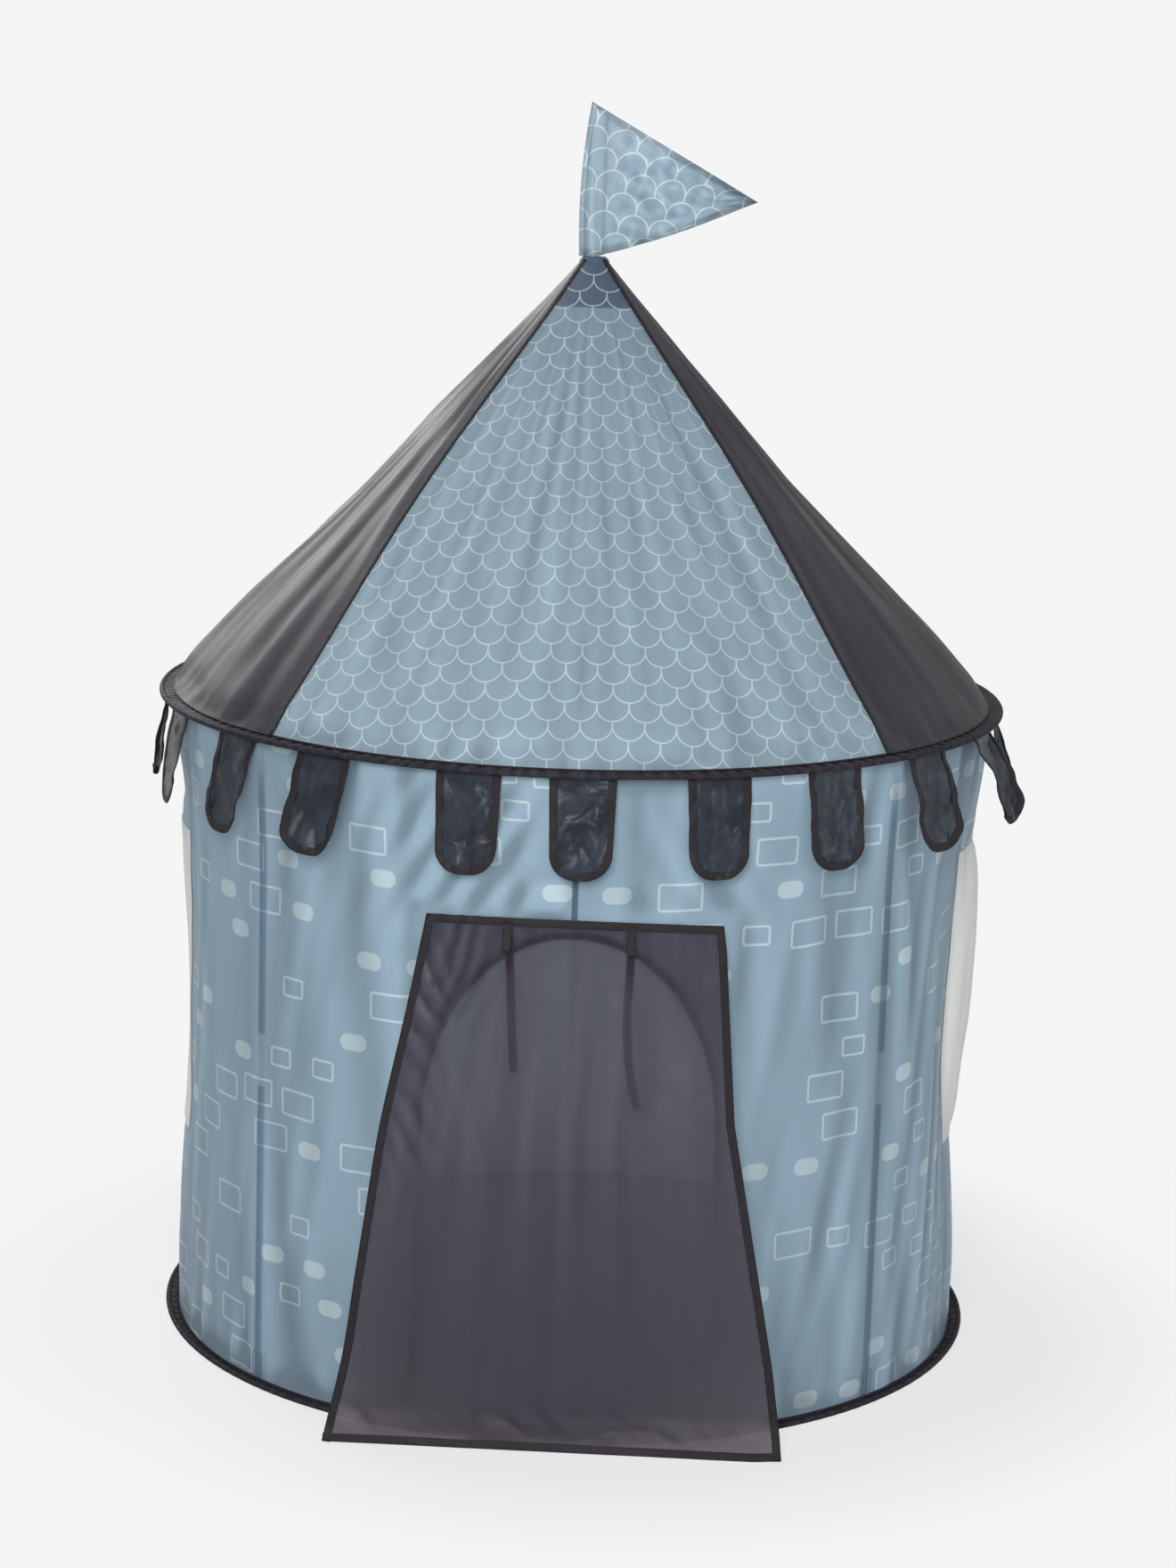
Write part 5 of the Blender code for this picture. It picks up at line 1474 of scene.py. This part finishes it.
def make_hem():
    """The wall's hem, sewn on the floor hoop's casing."""
    dress(tape("wall_hem", lambda a, b: around(wall_radius(a, b), a, b), [packed(full_turn(240), WALL_FOOT + 0.0022)],
               WALL_HEM, "casing_taffeta", 0.0012, closed=True))


def make_floor_sheet():
    """The floor cloth: rings round the centre, barely rippled."""
    a, r = np.meshgrid(full_turn(120), FLOOR_SHEET_RADIUS * np.linspace(0.004, 1, 56))
    x, y = r * np.sin(a), -r * np.cos(a)
    edge = smooth((FLOOR_SHEET_RADIUS - r) / 0.05)
    ripple = 0.0016 * (noise(x * 17 + 9, y * 17 + 9, 81) + 1) + 0.0007 * (noise(x * 45 + 9, y * 45 + 9, 82) + 1)
    points = packed(x, y, 0.0006 + ripple * edge).reshape(-1, 3)
    faces = [grid_faces(*a.shape, wrap_columns=True), np.arange(a.shape[1])[None, ::-1]]
    faces = [facing(points, part, (0, 0, -1)) for part in faces]
    piece = new_piece("floor_cloth", points, faces, packed(x, y), cloth("floor_taffeta"))
    dress(piece, "floor_sheet", slot="floor_cloth")
    across = 2 * FLOOR_SHEET_RADIUS
    pi * across ** 2 / 4


def finish_frame():
    """Finishes of the poles, elbows, hub and hoops, whose solids stay."""
    pole = hard_finish("glass_fibre_rod", colours().pole, 0.35, grain=140.0)
    fitting = hard_finish("fitting_plastic", colours().fitting, 0.45)
    wire = hard_finish("spring_wire", colours().wire, 0.30, metallic=1.0, grain=200.0)
    starts = {"wall_pole_": pole, "roof_pole_": pole, "flag_rod": pole, "pole_elbow_": fitting, "apex_hub": fitting,
              "floor_hoop": wire, "eave_hoop": wire}
    for name, node in frame["nodes"].items():
        for start, material in starts.items():
            if name.startswith(start) and "sleeve" not in name and "casing" not in name:
                node.data.materials.clear()
                node.data.materials.append(material)


# Stage

def make_floor_plane():
    """A wide pale floor: it holds the tent's shadow near it, and is plain background colour further out."""
    def build(tree):
        away = tree.add("VectorMath", {0: tree.add("TexCoord")["Object"]}, operation="LENGTH")["Value"]
        pale = tree.add("BsdfDiffuse", {"Color": shaded(ink(206, 206, 206))})[0]
        glow = tree.add("Emission", {"Color": BACKDROP, "Strength": 1.0})[0]
        return tree.blend(beyond_object(tree) * tree.ramp(away, 0.56, 0.90, 0.74, 1.0), pale, glow)
    a, r = np.meshgrid(full_turn(96), (0.0001, 0.5, 1.0, 2.0, 4.0, 9.0, 30.0))
    faces = grid_faces(*a.shape, wrap_columns=True)[:, ::-1]
    new_piece("studio_floor", around(r, a, -0.0004), [faces], None, finish("studio_floor", build))


def make_world():
    """Even white light, with the picture's pale background for the camera and for reflections."""
    def build(tree):
        light, backdrop = (tree.add("Background", {"Color": colour, "Strength": strength})[0]
                           for colour, strength in (((1, 1, 1, 1), WORLD_STRENGTH), (BACKDROP, 1.0)))
        return tree.blend(beyond_object(tree), light, backdrop)
    world = bpy.data.worlds.new("studio")
    fill_tree(world, "OutputWorld", build)
    bpy.context.scene.world = world


def stand(name, data, place, axes):
    """A lamp or a camera at a place, turned to its three axes."""
    thing = bpy.data.objects.new(name, data)
    rows = zip(packed(*axes).tolist(), place)
    thing.matrix_world = Matrix([(*row, where) for row, where in rows] + [(0, 0, 0, 1)])
    bpy.context.scene.collection.objects.link(thing)
    return thing


def make_softbox(name, place, aim, size, power):
    """A square soft light at a place, turned to its aim."""
    light = bpy.data.lights.new(name, "AREA")
    light.shape = "SQUARE"
    light.size = size
    light.energy = power
    back = unit(np.array(place) - np.array(aim))
    side = unit(np.cross((0, 0, 1), back))
    stand(name, light, place, [side, np.cross(back, side), back])


def make_camera():
    """The picture's camera: its place, pitch, yaw and roll, and its focal length on a 36 mm sensor."""
    data = bpy.data.cameras.new("picture_camera")
    data.sensor_width = SENSOR
    data.lens = FOCAL_PIXELS * SENSOR / PICTURE_HEIGHT
    ahead = np.array([sin(CAMERA_YAW) * cos(CAMERA_PITCH), cos(CAMERA_YAW) * cos(CAMERA_PITCH), -sin(CAMERA_PITCH)])
    level = np.array([cos(CAMERA_YAW), -sin(CAMERA_YAW), 0.0])
    over = np.cross(level, ahead)
    right = cos(CAMERA_ROLL) * level + sin(CAMERA_ROLL) * over
    up = cos(CAMERA_ROLL) * over - sin(CAMERA_ROLL) * level
    bpy.context.scene.camera = stand("picture_camera", data, CAMERA_PLACE, [right, up, -ahead])


# Operators

class TENT_OT_stage(bpy.types.Operator):
    """Add the camera, the floor, the soft lights and the world"""
    bl_idname = "tent.stage"
    bl_label = "Stage"

    def execute(self, context):
        context.scene.view_settings.view_transform = "Standard"
        make_camera()
        make_world()
        make_floor_plane()
        for softbox in SOFTBOXES:
            make_softbox(*softbox)
        return {"FINISHED"}


class TENT_OT_wall(bpy.types.Operator):
    """Add the printed wall, its doorway binding and its seam tape"""
    bl_idname = "tent.wall"
    bl_label = "Wall"

    def execute(self, context):
        make_wall()
        make_seam_tape()
        return {"FINISHED"}


class TENT_OT_windows(bpy.types.Operator):
    """Add the window nets and their hems"""
    bl_idname = "tent.windows"
    bl_label = "Windows"

    def execute(self, context):
        make_windows()
        return {"FINISHED"}


class TENT_OT_roof(bpy.types.Operator):
    """Add the roof gores, ridge piping and apex binding"""
    bl_idname = "tent.roof"
    bl_label = "Roof"

    def execute(self, context):
        make_roof()
        return {"FINISHED"}


class TENT_OT_casings(bpy.types.Operator):
    """Add the gathered casings of both hoops, the wall's hem and the floor cloth"""
    bl_idname = "tent.casings"
    bl_label = "Casings and floor"

    def execute(self, context):
        make_casing("eave_hoop_casing", EAVE_RADIUS, EAVE_CASING_WIDTH, EAVE_HEIGHT, False, 11)
        make_casing("floor_hoop_casing", FLOOR_RADIUS, FLOOR_CASING_WIDTH, CASING_BULGE, True, 14)
        make_hem()
        make_floor_sheet()
        return {"FINISHED"}


class TENT_OT_merlons(bpy.types.Operator):
    """Add the bound merlon tabs"""
    bl_idname = "tent.merlons"
    bl_label = "Merlon tabs"

    def execute(self, context):
        make_merlons()
        return {"FINISHED"}


class TENT_OT_door(bpy.types.Operator):
    """Add the door flap with its binding and ties"""
    bl_idname = "tent.door"
    bl_label = "Door flap"

    def execute(self, context):
        make_flap()
        return {"FINISHED"}


class TENT_OT_flag(bpy.types.Operator):
    """Add the flag"""
    bl_idname = "tent.flag"
    bl_label = "Flag"

    def execute(self, context):
        make_flag()
        return {"FINISHED"}


class TENT_OT_poles(bpy.types.Operator):
    """Finish the poles, hoops and fittings, and add the cloth sleeves and foot pockets"""
    bl_idname = "tent.poles"
    bl_label = "Poles and sleeves"

    def execute(self, context):
        finish_frame()
        make_sleeves()
        return {"FINISHED"}


OPERATORS = (TENT_OT_stage, TENT_OT_wall, TENT_OT_windows, TENT_OT_roof, TENT_OT_casings, TENT_OT_merlons,
             TENT_OT_door, TENT_OT_flag, TENT_OT_poles)


class TENT_PT_panel(bpy.types.Panel):
    """The tent's operators, sizes and colours"""
    bl_idname = "TENT_PT_panel"
    bl_label = "Play tent"
    bl_space_type = "VIEW_3D"
    bl_region_type = "UI"
    bl_category = "Play tent"

    def draw(self, context):
        for operator in OPERATORS:
            self.layout.operator(operator.bl_idname)
        for group in (context.scene.tent_sizes, context.scene.tent_colours):
            box = self.layout.box()
            for name in group.__annotations__:
                box.prop(group, name)


CLASSES = (TentSizes, TentColours, *OPERATORS, TENT_PT_panel)


def register():
    for entry in CLASSES:
        bpy.utils.register_class(entry)
    bpy.types.Scene.tent_sizes = bpy.props.PointerProperty(type=TentSizes)
    bpy.types.Scene.tent_colours = bpy.props.PointerProperty(type=TentColours)


def unregister():
    del bpy.types.Scene.tent_sizes
    del bpy.types.Scene.tent_colours
    for entry in reversed(CLASSES):
        bpy.utils.unregister_class(entry)


def main():
    register()
    for operator in OPERATORS:
        name = operator.bl_idname.split(".")[1]
        getattr(bpy.ops.tent, name)()


if __name__ == "__main__":
    main()
